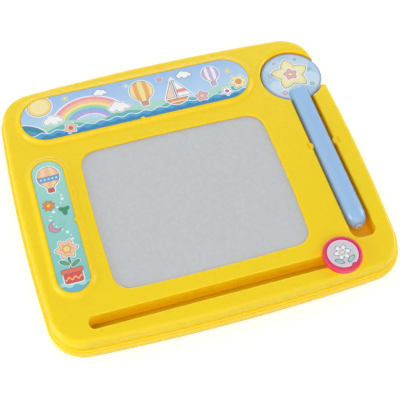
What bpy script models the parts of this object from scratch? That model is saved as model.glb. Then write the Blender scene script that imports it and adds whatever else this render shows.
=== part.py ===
# Magnetic drawing board for children: a two-shell plastic case with a honeycomb screen,
# a magnet eraser that slides under the screen and a magnet pen that lifts out of its groove.
# Metres, +Z up. The origin is under the middle of the case, on the surface it lies on.
# The case is seen from above with its long side along X and its far edge at +Y.

import math

import bmesh
import bpy

# Whole case
BOARD_WIDTH = 0.2400
BOARD_DEPTH = 0.2124
SIDE_BOW = 0.0046
END_BOW = 0.0050
CORNER_RADIUS = 0.0242
FACE_HEIGHT = 0.0180
SEAT_GAP = 0.0003
OVERRUN = 0.0020

# Back cover
RIM_HEIGHT = 0.0068
RIM_WALL = 0.0020
RIM_EDGE = 0.0006
FOOT_RADIUS = 0.0030
FLOOR = 0.0020
UNDERSIDE_RECESS = 0.0006
RESTING_BAND = 0.0120

# Front frame
FRAME_WALL = 0.0019
FACE_THICKNESS = 0.0017
SHOULDER_RADIUS = 0.0040
PAN_WALL = 0.0018
WINDOW_LIP = 0.0008
WINDOW_BOW = 0.0015
WINDOW_CORNER = 0.0115

# Raised label panels
PANEL_RISE = 0.0022
PANEL_ROUND = 0.0014
PANEL_BORDER = 0.0028
PANEL_APRON = 0.0033
PANEL_APRON_RISE = 0.0010
PANEL_APRON_FOOT = 0.0001
LABEL_POCKET = 0.0008
LABEL_THICKNESS = 0.0003
LABEL_PLAY = 0.0003
LABEL_TAB = 0.0015
TOP_LABEL_DEPTH = 0.0366
TOP_LABEL_FAR_MARGIN = 0.0150
TOP_LABEL_LEFT_MARGIN = 0.0175
TOP_PANEL_TO_DISC = 0.0036
SIDE_LABEL_WIDTH = 0.0209
SIDE_LABEL_LEFT_MARGIN = 0.0158
SIDE_LABEL_LOW_SHORT = 0.0070
LABEL_CORNER_SHARE = 0.5

# Gaps between the window and what surrounds it
WINDOW_LEFT_GAP = 0.0095
WINDOW_FAR_GAP = 0.0121
WINDOW_NEAR_GAP = 0.00995
WINDOW_BAR_GAP = 0.0066

# Pen groove and the round recess for the pen's head
GROOVE_RIGHT_MARGIN = 0.0250
GROOVE_NEAR_MARGIN = 0.0284
GROOVE_SIDE_PLAY = 0.0017
GROOVE_CORNER = 0.0062
GROOVE_LIP = 0.0006
GROOVE_PAN_LIFT = 0.0028
RECESS_PLAY = 0.0009
RECESS_LIP = 0.0025
NUB_REACH = 0.0013
NUB_LENGTH = 0.0046
NUB_HEIGHT = 0.0024
NUB_DROP = 0.0002
NUB_PLACE = 0.0005
DIMPLE_WIDTH = 0.0015
DIMPLE_LENGTH = 0.0052
DIMPLE_DEPTH = 0.0011

# Finger notch in the side of the case, under the edge of the pen's head
NOTCH_DEPTH = 0.0090
NOTCH_WIDTH = 0.0262
NOTCH_HORN = 0.0032
NOTCH_FOOT = 0.0010

# Pen
PEN_RADIUS = 0.0068
PEN_WALL = 0.0016
PEN_FLOOR_GAP = 0.0004
PEN_TIP_GAP = 0.0109
PEN_TIP_RADIUS = 0.0029
PEN_TIP_DROP = 0.0016
PEN_TAPER = 0.0085
PEN_DOME = 0.0045
PEN_DISC_RADIUS = 0.0220
PEN_DISC_FAR_MARGIN = 0.0413
PEN_DISC_THICKNESS = 0.0040
PEN_DISC_RISE = 0.0015
PEN_DISC_PLATE = 0.0014
PEN_DISC_EDGE = 0.0010
PEN_DISC_RIM = 0.0013
PEN_DISC_POCKET = 0.0006
PEN_STICK_LAP = 0.0103
NIB_RADIUS = 0.0019
NIB_COLLAR_RADIUS = 0.0025
NIB_COLLAR = 0.0005
NIB_LENGTH = 0.0110
PEN_MAGNET_RADIUS = 0.0011
PEN_MAGNET_LENGTH = 0.0080

# Screen panel: two films with the cell sheet between them
FILM = 0.0004
CELL_SHEET = 0.0012
SCREEN_LAP = 0.0050
FENCE_WALL = 0.0012
FENCE_PLAY = 0.0004

# Rails that hold the screen and guide the eraser
RAIL_THICKNESS = 0.0016
RAIL_LAP = 0.0026
RAIL_NEAR_DEPTH = 0.0071
RAIL_FAR_DEPTH = 0.0099
RAIL_LIP = 0.0012
RAIL_LEFT_MARGIN = 0.0200
RAIL_PAN_GAP = 0.0018
RAIL_SCREW_INSET = 0.0022

# Eraser
BAR_WIDTH = 0.0120
BAR_ARM_WIDTH = 0.0080
BAR_ARM_THICKNESS = 0.0026
BAR_PAN_GAP = 0.00485
BAR_RAIL_GAP = 0.0006
BAR_FILM_GAP = 0.0005
BAR_FOOT = 0.0045
BAR_RISER = 0.0030
BAR_SKIRT_GAP = 0.00045
BAR_FAR_LAP = 0.0041
BAR_END_PLAY = 0.0004
BAR_SIDE_WALL = 0.0018
MAGNET_BED = 0.0019
SLIDE_RIB = 0.0016

# Eraser slot and the knob above it
SLOT_NEAR_MARGIN = 0.01795
SLOT_LEFT_MARGIN = 0.0280
SLOT_WIDTH = 0.0086
SLOT_LIP = 0.0012
SLOT_SKIRT = 0.0010
STEM_LENGTH = 0.0080
STEM_SIDE_PLAY = 0.00055
KNOB_RADIUS = 0.0129
KNOB_HEIGHT = 0.0044
KNOB_FACE_GAP = 0.0004
KNOB_EDGE = 0.0012
KNOB_RIM = 0.0022
KNOB_POCKET = 0.0010
KNOB_TAB_DEGREES = -65

# Screws: head radius, head height, shank radius
CASE_SCREW = (0.0028, 0.0016, 0.0012)
RAIL_SCREW = (0.0018, 0.0011, 0.0009)
KNOB_SCREW = (0.0021, 0.0011, 0.0009)
KNOB_SCREW_LENGTH = 0.0080
SCREW_BITE = 0.0060
SCREW_PLAY = 0.0003
SCREW_SINK = 0.0012
POST_WALL = 0.0015
BOSS_WALL = 0.0008
CORNER_SCREW_INSET = 0.0165
DRIVE_DEPTH_SHARE = 0.5
DRIVE_WIDTH_SHARE = 0.22

# Facets
CORNER_STEPS = 6
BOW_STEPS = 3
ROUND_STEPS = 3
CIRCLE_STEPS = 36
NOTCH_STEPS = 8
SMALL_CIRCLE_STEPS = 12
SECTION_STEPS = 18

# Heights through the case, from the face down to the floor
UNDER_FACE = FACE_HEIGHT - FACE_THICKNESS
FRONT_FILM_TOP = UNDER_FACE - SEAT_GAP
CELL_TOP = FRONT_FILM_TOP - FILM - SEAT_GAP
BACK_FILM_TOP = CELL_TOP - CELL_SHEET - SEAT_GAP
RAIL_TOP = BACK_FILM_TOP - FILM - SEAT_GAP
RAIL_BOTTOM = RAIL_TOP - RAIL_THICKNESS
ARM_TOP = RAIL_BOTTOM - SEAT_GAP
ARM_BOTTOM = ARM_TOP - BAR_ARM_THICKNESS
BAR_TOP = BACK_FILM_TOP - FILM - BAR_FILM_GAP
SLIDE_RIB_TOP = ARM_BOTTOM - SEAT_GAP
LOW_ARM_BOTTOM = FLOOR + 2 * SEAT_GAP
LOW_ARM_TOP = LOW_ARM_BOTTOM + BAR_ARM_THICKNESS
SKIRT_BOTTOM = LOW_ARM_TOP + SEAT_GAP
GROOVE_FLOOR = FLOOR + SEAT_GAP + PAN_WALL + GROOVE_PAN_LIFT
PEN_Z = GROOVE_FLOOR + PEN_FLOOR_GAP + PEN_RADIUS
DISC_TOP = PEN_Z + PEN_DISC_RISE
DISC_BOTTOM = DISC_TOP - PEN_DISC_THICKNESS
RECESS_FLOOR = DISC_BOTTOM - SEAT_GAP
PANEL_TOP = FACE_HEIGHT + PANEL_RISE
FRAME_INSET = RIM_WALL + SEAT_GAP
FRAME_BOTTOM = FLOOR + SEAT_GAP
CAVITY_INSET = FRAME_INSET + FRAME_WALL

# Places across the case
GROOVE_X = BOARD_WIDTH / 2 - GROOVE_RIGHT_MARGIN
GROOVE_HALF = PEN_RADIUS + GROOVE_SIDE_PLAY
GROOVE_NEAR_END = -BOARD_DEPTH / 2 + GROOVE_NEAR_MARGIN
DISC_Y = BOARD_DEPTH / 2 - PEN_DISC_FAR_MARGIN
RECESS_RADIUS = PEN_DISC_RADIUS + RECESS_PLAY
STICK_FAR_END = DISC_Y - PEN_DISC_RADIUS + PEN_STICK_LAP
PEN_NEAR_END = GROOVE_NEAR_END + PEN_TIP_GAP
SLOT_Y = -BOARD_DEPTH / 2 + SLOT_NEAR_MARGIN
SLOT_HALF = SLOT_WIDTH / 2
PAN_LEFT = GROOVE_X - GROOVE_HALF - PAN_WALL
BAR_X = PAN_LEFT - BAR_PAN_GAP - BAR_WIDTH / 2
SLOT_LEFT = -BOARD_WIDTH / 2 + SLOT_LEFT_MARGIN
SLOT_RIGHT = BAR_X + STEM_LENGTH / 2 + BAR_END_PLAY
TOP_PANEL_LEFT = -BOARD_WIDTH / 2 + TOP_LABEL_LEFT_MARGIN - PANEL_BORDER
TOP_PANEL_RIGHT = GROOVE_X - RECESS_RADIUS - RECESS_LIP - TOP_PANEL_TO_DISC
TOP_PANEL_FAR = BOARD_DEPTH / 2 - TOP_LABEL_FAR_MARGIN + PANEL_BORDER
TOP_PANEL_NEAR = TOP_PANEL_FAR - TOP_LABEL_DEPTH - 2 * PANEL_BORDER
SIDE_PANEL_LEFT = -BOARD_WIDTH / 2 + SIDE_LABEL_LEFT_MARGIN - PANEL_BORDER
SIDE_PANEL_RIGHT = SIDE_PANEL_LEFT + SIDE_LABEL_WIDTH + 2 * PANEL_BORDER
WINDOW_LEFT = SIDE_PANEL_RIGHT + WINDOW_LEFT_GAP
WINDOW_RIGHT = BAR_X - BAR_WIDTH / 2 - WINDOW_BAR_GAP
WINDOW_FAR = TOP_PANEL_NEAR - WINDOW_FAR_GAP
WINDOW_NEAR = SLOT_Y + SLOT_HALF + SLOT_LIP + WINDOW_NEAR_GAP
SIDE_PANEL_FAR = WINDOW_FAR
SIDE_PANEL_NEAR = WINDOW_NEAR + SIDE_LABEL_LOW_SHORT - PANEL_BORDER
SCREEN_LEFT = WINDOW_LEFT - SCREEN_LAP
SCREEN_RIGHT = WINDOW_RIGHT + SCREEN_LAP
SCREEN_FAR = WINDOW_FAR + SCREEN_LAP
SCREEN_NEAR = WINDOW_NEAR - SCREEN_LAP
RAIL_LEFT = -BOARD_WIDTH / 2 + RAIL_LEFT_MARGIN
RAIL_RIGHT = PAN_LEFT - RAIL_PAN_GAP
NEAR_RAIL_FAR = SCREEN_NEAR + RAIL_LAP
NEAR_RAIL_NEAR = NEAR_RAIL_FAR - RAIL_NEAR_DEPTH
FAR_RAIL_NEAR = SCREEN_FAR - RAIL_LAP
FAR_RAIL_FAR = FAR_RAIL_NEAR + RAIL_FAR_DEPTH
BAR_FAR = FAR_RAIL_NEAR - BAR_RAIL_GAP
BAR_NEAR = NEAR_RAIL_FAR + BAR_RAIL_GAP
ARM_FAR = FAR_RAIL_NEAR + BAR_FAR_LAP
LIP_NEAR = ARM_FAR + BAR_END_PLAY
LIP_FAR = LIP_NEAR + RAIL_LIP
ARM_NEAR = SLOT_Y - BAR_FOOT
SKIRT_HALF = SLOT_HALF + SLOT_SKIRT
RISER_NEAR = SLOT_Y + SKIRT_HALF + BAR_SKIRT_GAP
RISER_FAR = RISER_NEAR + BAR_RISER


def circle(x, y, radius, steps=CIRCLE_STEPS):
    turns = [2 * math.pi * i / steps for i in range(steps)]
    return [(x + radius * math.cos(a), y + radius * math.sin(a)) for a in turns]


def arc(centre, radius, start, end, steps):
    """Points of an arc, its last point left out."""
    angles = [start + (end - start) * i / steps for i in range(steps)]
    return [(centre[0] + radius * math.cos(a), centre[1] + radius * math.sin(a)) for a in angles]


def meeting(first, first_radius, second, second_radius):
    """Where two circles cross, on the right of the way from the first centre to the second."""
    apart = math.dist(first, second)
    along = (first_radius**2 - second_radius**2 + apart**2) / (2 * apart)
    across = math.sqrt(first_radius**2 - along**2)
    unit = ((second[0] - first[0]) / apart, (second[1] - first[1]) / apart)
    foot = (first[0] + unit[0] * along, first[1] + unit[1] * along)
    return (foot[0] + unit[1] * across, foot[1] - unit[0] * across)


def direction(start, end):
    return math.atan2(end[1] - start[1], end[0] - start[0])


def outline_circles(half_x, half_y, side_bow, end_bow, corner):
    """The circles of the far edge and the right side, and the centre of the corner between them."""
    end_radius = (half_x**2 + end_bow**2) / (2 * end_bow)
    side_radius = (half_y**2 + side_bow**2) / (2 * side_bow)
    end_centre = (0, half_y - end_radius)
    side_centre = (half_x - side_radius, 0)
    corner_centre = meeting(end_centre, end_radius - corner, side_centre, side_radius - corner)
    return end_centre, end_radius, side_centre, side_radius, corner_centre


def bowed_outline(left, right, near, far, side_bow, end_bow, corner, inset=0):
    """A rectangle with round corners whose four sides bow outwards, drawn in by inset."""
    half_x, half_y = (right - left) / 2, (far - near) / 2
    circles = outline_circles(half_x, half_y, side_bow, end_bow, corner)
    end_centre, end_radius, side_centre, side_radius, corner_centre = circles
    low = direction(side_centre, corner_centre)
    high = direction(end_centre, corner_centre)
    quarter = arc(side_centre, side_radius - inset, 0, low, BOW_STEPS)
    quarter += arc(corner_centre, corner - inset, low, high, CORNER_STEPS)
    quarter += arc(end_centre, end_radius - inset, high, math.pi / 2, BOW_STEPS)
    top = (0, half_y - inset)
    side = (half_x - inset, 0)
    second = [(-x, y) for x, y in reversed(quarter[1:])]
    upper = quarter + [top] + second + [(-side[0], 0)]
    lower = [(x, -y) for x, y in reversed(upper[1:-1])]
    middle = ((left + right) / 2, (near + far) / 2)
    return [(x + middle[0], y + middle[1]) for x, y in upper + lower]


def case_outline(inset):
    half_x, half_y = BOARD_WIDTH / 2, BOARD_DEPTH / 2
    return bowed_outline(-half_x, half_x, -half_y, half_y, SIDE_BOW, END_BOW, CORNER_RADIUS, inset)


def window_outline(inset):
    sides = (WINDOW_LEFT, WINDOW_RIGHT, WINDOW_NEAR, WINDOW_FAR)
    return bowed_outline(*sides, WINDOW_BOW, WINDOW_BOW, WINDOW_CORNER, inset)


def notch_outline(grow):
    """The finger notch in plan: a scoop whose two horns round into the side of the front frame."""
    edge, depth = BOARD_WIDTH / 2 - FRAME_INSET, NOTCH_DEPTH - FRAME_INSET
    scoop = ((NOTCH_WIDTH / 2) ** 2 + depth**2) / (2 * depth)
    centre = (edge - depth + scoop, DISC_Y)
    sizes = (BOARD_WIDTH / 2, BOARD_DEPTH / 2, SIDE_BOW, END_BOW, CORNER_RADIUS)
    _, _, side_centre, side_radius, corner_centre = outline_circles(*sizes)
    drawn_in = FRAME_INSET + NOTCH_HORN
    near = meeting(side_centre, side_radius - drawn_in, centre, scoop + NOTCH_HORN)
    far = meeting(centre, scoop + NOTCH_HORN, corner_centre, CORNER_RADIUS - drawn_in)
    near_out, far_out = direction(side_centre, near), direction(corner_centre, far)
    horn, reach = NOTCH_HORN - grow, NOTCH_HORN + FRAME_INSET + 2 * OVERRUN
    near_back, far_back = direction(centre, near) % (2 * math.pi), direction(centre, far)
    points = [(near[0] + reach * math.cos(near_out), near[1] + reach * math.sin(near_out))]
    points += arc(near, horn, near_out, direction(near, centre), ROUND_STEPS)
    points += arc(centre, scoop + grow, near_back, far_back, NOTCH_STEPS)
    points += arc(far, horn, direction(far, centre), far_out, ROUND_STEPS)
    points.append((far[0] + reach * math.cos(far_out), far[1] + reach * math.sin(far_out)))
    return points


def round_rectangle(left, right, near, far, corner, inset=0, steps=CORNER_STEPS):
    left, right, near, far = left + inset, right - inset, near + inset, far - inset
    radius = corner - inset
    centres = (
        (right - radius, far - radius),
        (left + radius, far - radius),
        (left + radius, near + radius),
        (right - radius, near + radius),
    )
    points = []
    for quarter, centre in enumerate(centres):
        start = quarter * math.pi / 2
        points += arc(centre, radius, start, start + math.pi / 2, steps)
        points.append(
            (
                centre[0] + radius * math.cos(start + math.pi / 2),
                centre[1] + radius * math.sin(start + math.pi / 2),
            )
        )
    return points


def shoulder(radius, steps=ROUND_STEPS):
    """(inset, height) pairs up a quarter round, from its foot to its flat top."""
    angles = [math.pi / 2 * i / steps for i in range(steps + 1)]
    return [(radius * (1 - math.cos(a)), radius * math.sin(a)) for a in angles]


def new_object(name, rings, material):
    """A closed solid through rings of points, each with as many points, capped at both ends."""
    mesh = bpy.data.meshes.new(name)
    shape = bmesh.new()
    loops = [[shape.verts.new(point) for point in ring] for ring in rings]
    shape.faces.new(list(reversed(loops[0])))
    shape.faces.new(loops[-1])
    for lower, upper in zip(loops, loops[1:]):
        for i in range(len(lower)):
            after = (i + 1) % len(lower)
            shape.faces.new((lower[i], lower[after], upper[after], upper[i]))
    bmesh.ops.recalc_face_normals(shape, faces=shape.faces)
    shape.to_mesh(mesh)
    shape.free()
    mesh.shade_smooth()
    mesh.set_sharp_from_angle(angle=math.radians(35))
    solid = bpy.data.objects.new(name, mesh)
    bpy.context.scene.collection.objects.link(solid)
    if material:
        mesh.materials.append(material)
    return solid


def stacked(name, levels, material=None):
    """A solid from (outline, height) levels, lowest first."""
    return new_object(name, [[(x, y, z) for x, y in outline] for outline, z in levels], material)


def block(name, left, right, near, far, low, high, material=None):
    outline = [(left, near), (right, near), (right, far), (left, far)]
    return stacked(name, [(outline, low), (outline, high)], material)


def cylinder(name, x, y, radius, low, high, material=None, steps=SMALL_CIRCLE_STEPS):
    outline = circle(x, y, radius, steps)
    return stacked(name, [(outline, low), (outline, high)], material)


def combine(target, tool, operation):
    """Applies a cutter, or a shape to join on, which is then hidden as a guide."""
    tool.hide_render = True
    tool.display_type = "WIRE"
    modifier = target.modifiers.new(f"{operation.lower()} {tool.name}", "BOOLEAN")
    modifier.object = tool
    modifier.operation = operation
    modifier.solver = "EXACT"


def cut(target, *tools):
    for tool in tools:
        combine(target, tool, "DIFFERENCE")


def join(target, *tools):
    for tool in tools:
        combine(target, tool, "UNION")


def plastic(name, colour, roughness, metallic=0.0, alpha=1.0):
    material = bpy.data.materials.new(name)
    material.use_nodes = True
    shader = material.node_tree.nodes["Principled BSDF"]
    shader.inputs["Base Color"].default_value = (*colour, 1)
    shader.inputs["Roughness"].default_value = roughness
    shader.inputs["Metallic"].default_value = metallic
    shader.inputs["Alpha"].default_value = alpha
    return material


def screw_places():
    """(x, y) of the eight case screws: one near each corner and one in the middle of each side."""
    corner_x = BOARD_WIDTH / 2 - CORNER_SCREW_INSET
    corner_y = BOARD_DEPTH / 2 - CORNER_SCREW_INSET
    boss = boss_radius()
    pan_right = GROOVE_X + GROOVE_HALF + PAN_WALL
    right_x = (pan_right + BOARD_WIDTH / 2 - CAVITY_INSET) / 2
    near_y = (SLOT_Y - SKIRT_HALF - BOARD_DEPTH / 2 + CAVITY_INSET) / 2
    far_y = BOARD_DEPTH / 2 - CAVITY_INSET - 2 * SEAT_GAP - boss
    left_y = (TOP_PANEL_NEAR + SIDE_PANEL_FAR) / 2
    middles = [(-corner_x, left_y), (right_x, 0), (0, near_y), (TOP_PANEL_LEFT / 3, far_y)]
    corners = [(sx * corner_x, sy * corner_y) for sx in (-1, 1) for sy in (-1, 1)]
    return corners + middles


def rail_screw_places():
    """(x, y) of the two screws of each rail, near rail first, clear of the screen and the eraser."""
    near_y = SCREEN_NEAR - FENCE_PLAY + FENCE_WALL - post_radius(RAIL_SCREW)
    far_y = LIP_FAR + RAIL_SCREW[0] + SCREW_PLAY
    left_x = RAIL_LEFT + RAIL_SCREW_INSET
    clear = pan_clearance() + RAIL_SCREW_INSET
    far_right_x = GROOVE_X - math.sqrt(clear**2 - (DISC_Y - far_y) ** 2)
    return [(left_x, near_y), (RAIL_RIGHT - RAIL_SCREW_INSET, near_y), (left_x, far_y), (far_right_x, far_y)]


def pan_clearance():
    """How far from the recess's middle a piece below the face has to stay."""
    return RECESS_RADIUS + PAN_WALL + SEAT_GAP


def post_radius(screw):
    return screw[2] + SCREW_PLAY + (POST_WALL if screw is CASE_SCREW else FENCE_WALL)


def boss_radius():
    return CASE_SCREW[0] + SCREW_PLAY + BOSS_WALL


def case_post_bottom():
    return RIM_HEIGHT + CASE_SCREW[1] / 2


def screw_solid(name, x, y, seat, screw, length, material):
    """A pan-head screw driven upwards: its head hangs below seat and has a cross drive cut in it."""
    head, head_height, shank = screw
    rim = head_height / 4
    levels = [
        (circle(x, y, head - rim, SMALL_CIRCLE_STEPS), seat - head_height),
        (circle(x, y, head, SMALL_CIRCLE_STEPS), seat - head_height + rim),
        (circle(x, y, head, SMALL_CIRCLE_STEPS), seat),
        (circle(x, y, shank, SMALL_CIRCLE_STEPS), seat),
        (circle(x, y, shank, SMALL_CIRCLE_STEPS), seat + length - shank),
        (circle(x, y, shank / 3, SMALL_CIRCLE_STEPS), seat + length),
    ]
    screw_object = stacked(name, levels, material)
    half = head * DRIVE_WIDTH_SHARE
    reach = head * (1 - DRIVE_WIDTH_SHARE) - half
    low, high = seat - head_height - OVERRUN, seat - head_height * (1 - DRIVE_DEPTH_SHARE)
    arms = [(half, reach), (reach, half)]
    for i, (across, deep) in enumerate(arms):
        tool = block(f"{name}_drive_{i + 1}", x - across, x + across, y - deep, y + deep, low, high)
        cut(screw_object, tool)
    return screw_object


def back_cover(material):
    foot = [(FOOT_RADIUS * (1 - math.sin(a)), FOOT_RADIUS * (1 - math.cos(a))) for a in quarter_angles()]
    levels = [(case_outline(inset), z) for inset, z in foot]
    levels += [(case_outline(inset), RIM_HEIGHT - RIM_EDGE + rise) for inset, rise in shoulder(RIM_EDGE, 2)]
    cover = stacked("back_cover", levels, material)
    tray = [(case_outline(RIM_WALL), FLOOR), (case_outline(RIM_WALL), RIM_HEIGHT + OVERRUN)]
    inside = stacked("back_cover_inside", tray)
    rim_notch = notch_outline(-SEAT_GAP)
    cut(inside, stacked("notch_rim", [(rim_notch, FLOOR - OVERRUN), (rim_notch, RIM_HEIGHT + 2 * OVERRUN)]))
    cut(cover, inside)
    boss = boss_radius()
    boss_top = case_post_bottom() - SEAT_GAP
    seat = screw_seat()
    steps = CIRCLE_STEPS // 2
    for i, (x, y) in enumerate(screw_places()):
        join(cover, cylinder(f"screw_boss_{i + 1}", x, y, boss, FLOOR / 2, boss_top, steps=steps))
    for i, y in enumerate(slide_rib_places()):
        rib = block(
            f"slide_rib_{i + 1}", RAIL_LEFT, RAIL_RIGHT, y, y + SLIDE_RIB, FLOOR / 2, SLIDE_RIB_TOP
        )
        join(cover, rib)
    flared, notch = notch_outline(NOTCH_FOOT - FRAME_INSET), notch_outline(-FRAME_INSET)
    notch_levels = [(flared, -OVERRUN), (flared, 0), (notch, NOTCH_FOOT), (notch, RIM_HEIGHT + OVERRUN)]
    cut(cover, stacked("cover_notch", notch_levels))
    panel = [(case_outline(RESTING_BAND), -OVERRUN), (case_outline(RESTING_BAND), UNDERSIDE_RECESS)]
    cut(cover, stacked("underside_panel", panel))
    well = CASE_SCREW[0] + SCREW_PLAY
    hole = CASE_SCREW[2] + SCREW_PLAY
    for i, (x, y) in enumerate(screw_places()):
        cut(cover, cylinder(f"screw_well_{i + 1}", x, y, well, -OVERRUN, seat, steps=steps))
        cut(cover, cylinder(f"screw_hole_{i + 1}", x, y, hole, seat - OVERRUN, boss_top + OVERRUN))
    return cover


def quarter_angles():
    return [math.pi / 2 * i / ROUND_STEPS for i in range(ROUND_STEPS + 1)]


def screw_seat():
    """Height of the shoulder in the back cover that a case screw's head pulls against."""
    return SCREW_SINK + CASE_SCREW[1] + SEAT_GAP


def slide_rib_places():
    """Near edges of the two ribs that the eraser's arm slides on."""
    return (NEAR_RAIL_FAR - 2 * SLIDE_RIB, FAR_RAIL_NEAR + SLIDE_RIB)


def label_panel(name, left, right, near, far):
    """The raised round-ended panel that a label lies in, with the hollowed apron round its foot."""
    corner = min(right - left, far - near) * LABEL_CORNER_SHARE
    low = FACE_HEIGHT - FACE_THICKNESS / 2
    levels = [(round_rectangle(left, right, near, far, corner, -PANEL_APRON), low)]
    for a in quarter_angles():
        out = PANEL_APRON * (1 - math.sin(a))
        z = FACE_HEIGHT + PANEL_APRON_FOOT + (PANEL_APRON_RISE - PANEL_APRON_FOOT) * (1 - math.cos(a))
        levels.append((round_rectangle(left, right, near, far, corner, -out), z))
    foot = PANEL_TOP - PANEL_ROUND
    levels += [
        (round_rectangle(left, right, near, far, corner, inset), foot + rise)
        for inset, rise in shoulder(PANEL_ROUND)[1:]
    ]
    return stacked(name, levels)


def label_tab_place(left, right, near, far):
    """(x, y) of the half-round tab that sets a label straight, in the middle of a long side."""
    if right - left > far - near:
        return ((left + right) / 2, near + PANEL_BORDER - LABEL_PLAY)
    return (right - PANEL_BORDER + LABEL_PLAY, (near + far) / 2)


def panel_cuts(name, left, right, near, far):
    """The label's pocket in the top of a panel, and the hollow below it that keeps the wall even."""
    corner = min(right - left, far - near) * LABEL_CORNER_SHARE
    outline = round_rectangle(left, right, near, far, corner, PANEL_BORDER - LABEL_PLAY)
    core = round_rectangle(left, right, near, far, corner, PANEL_BORDER + PANEL_ROUND)
    bed = PANEL_TOP - LABEL_POCKET
    pocket = stacked(f"{name}_pocket", [(outline, bed), (outline, PANEL_TOP + OVERRUN)])
    tab_x, tab_y = label_tab_place(left, right, near, far)
    low, high = bed - OVERRUN, PANEL_TOP + 2 * OVERRUN
    cut(pocket, cylinder(f"{name}_tab", tab_x, tab_y, LABEL_TAB, low, high))
    hollow = stacked(f"{name}_hollow", [(core, UNDER_FACE - OVERRUN), (core, bed - FACE_THICKNESS)])
    return (pocket, hollow)


def panels():
    """Names and sides of the two raised label panels."""
    return (
        ("top_panel", TOP_PANEL_LEFT, TOP_PANEL_RIGHT, TOP_PANEL_NEAR, TOP_PANEL_FAR),
        ("side_panel", SIDE_PANEL_LEFT, SIDE_PANEL_RIGHT, SIDE_PANEL_NEAR, SIDE_PANEL_FAR),
    )


def groove_outline(grow):
    """The pen's groove in plan. Its far end runs on under the pen's head."""
    half = GROOVE_HALF + grow
    far = STICK_FAR_END + GROOVE_SIDE_PLAY + grow
    near = GROOVE_NEAR_END - grow
    return round_rectangle(GROOVE_X - half, GROOVE_X + half, near, far, GROOVE_CORNER + grow)


def slot_outline(grow):
    half = SLOT_HALF + grow
    return round_rectangle(SLOT_LEFT - grow, SLOT_RIGHT + grow, SLOT_Y - half, SLOT_Y + half, half)


def lipped(name, outline_of, low, lip, top=FACE_HEIGHT):
    """A cutter whose walls flare out at the face, which leaves a rounded lip round the opening."""
    levels = [(outline_of(0), low)]
    levels += [(outline_of(grow), top - lip + rise) for grow, rise in shoulder(lip)]
    levels.append((outline_of(lip), top + PANEL_RISE + OVERRUN))
    return stacked(name, levels)


def frame_cavity():
    """The hollow of the front frame, with all that stands in it left out of the hollow."""
    chamfer = SHOULDER_RADIUS - FRAME_INSET
    levels = [
        (case_outline(CAVITY_INSET), FRAME_BOTTOM - OVERRUN),
        (case_outline(CAVITY_INSET), UNDER_FACE - chamfer),
        (case_outline(CAVITY_INSET + chamfer), UNDER_FACE),
    ]
    cavity = stacked("frame_cavity", levels)
    above = UNDER_FACE + FACE_THICKNESS / 2
    groove_bottom = GROOVE_FLOOR - PAN_WALL
    pan = groove_outline(PAN_WALL)
    cut(cavity, stacked("groove_pan", [(pan, groove_bottom), (pan, above)]))
    disc_pan = circle(GROOVE_X, DISC_Y, RECESS_RADIUS + PAN_WALL)
    cut(cavity, stacked("recess_pan", [(disc_pan, RECESS_FLOOR - PAN_WALL), (disc_pan, above)]))
    skirt = slot_outline(SLOT_SKIRT)
    cut(cavity, stacked("slot_skirt", [(skirt, SKIRT_BOTTOM), (skirt, above)]))
    notch = notch_outline(FRAME_WALL)
    cut(cavity, stacked("notch_wall", [(notch, FRAME_BOTTOM - 2 * OVERRUN), (notch, above)]))
    fence_low = BACK_FILM_TOP
    outside = window_outline(-SCREEN_LAP - FENCE_PLAY - FENCE_WALL)
    inside = window_outline(-SCREEN_LAP - FENCE_PLAY)
    fence = stacked("screen_fence", [(outside, fence_low), (outside, above)])
    cut(fence, stacked("screen_fence_inside", [(inside, fence_low - OVERRUN), (inside, above + OVERRUN)]))
    cut(cavity, fence)
    for i, (x, y) in enumerate(screw_places()):
        radius = post_radius(CASE_SCREW)
        cut(cavity, cylinder(f"screw_post_{i + 1}", x, y, radius, case_post_bottom(), above))
    for i, (x, y) in enumerate(rail_screw_places()):
        radius = post_radius(RAIL_SCREW)
        cut(cavity, cylinder(f"rail_post_{i + 1}", x, y, radius, RAIL_TOP + SEAT_GAP, above))
    return cavity


def pen_nub(name, side):
    """A small catch on the groove's wall, at side -1 or 1, that the pen is pressed past."""
    wall = GROOVE_X + side * GROOVE_HALF
    high = FACE_HEIGHT - NUB_DROP
    turns = [math.pi * (i / SMALL_CIRCLE_STEPS - 0.5) for i in range(SMALL_CIRCLE_STEPS + 1)]
    root = wall + side * PAN_WALL / 2
    bump = [(wall - side * NUB_REACH * math.cos(a), NUB_PLACE + NUB_LENGTH / 2 * math.sin(a)) for a in turns]
    outline = [(root, NUB_PLACE - NUB_LENGTH / 2)] + bump + [(root, NUB_PLACE + NUB_LENGTH / 2)]
    return stacked(name, [(outline, high - NUB_HEIGHT), (outline, high)])


def nub_dimple(name, side):
    half = DIMPLE_WIDTH / 2
    middle = GROOVE_X + side * (GROOVE_HALF + PAN_WALL + half)
    near, far = NUB_PLACE - DIMPLE_LENGTH / 2, NUB_PLACE + DIMPLE_LENGTH / 2
    outline = round_rectangle(middle - half, middle + half, near, far, half, steps=ROUND_STEPS)
    return stacked(name, [(outline, FACE_HEIGHT - DIMPLE_DEPTH), (outline, FACE_HEIGHT + OVERRUN)])


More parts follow.
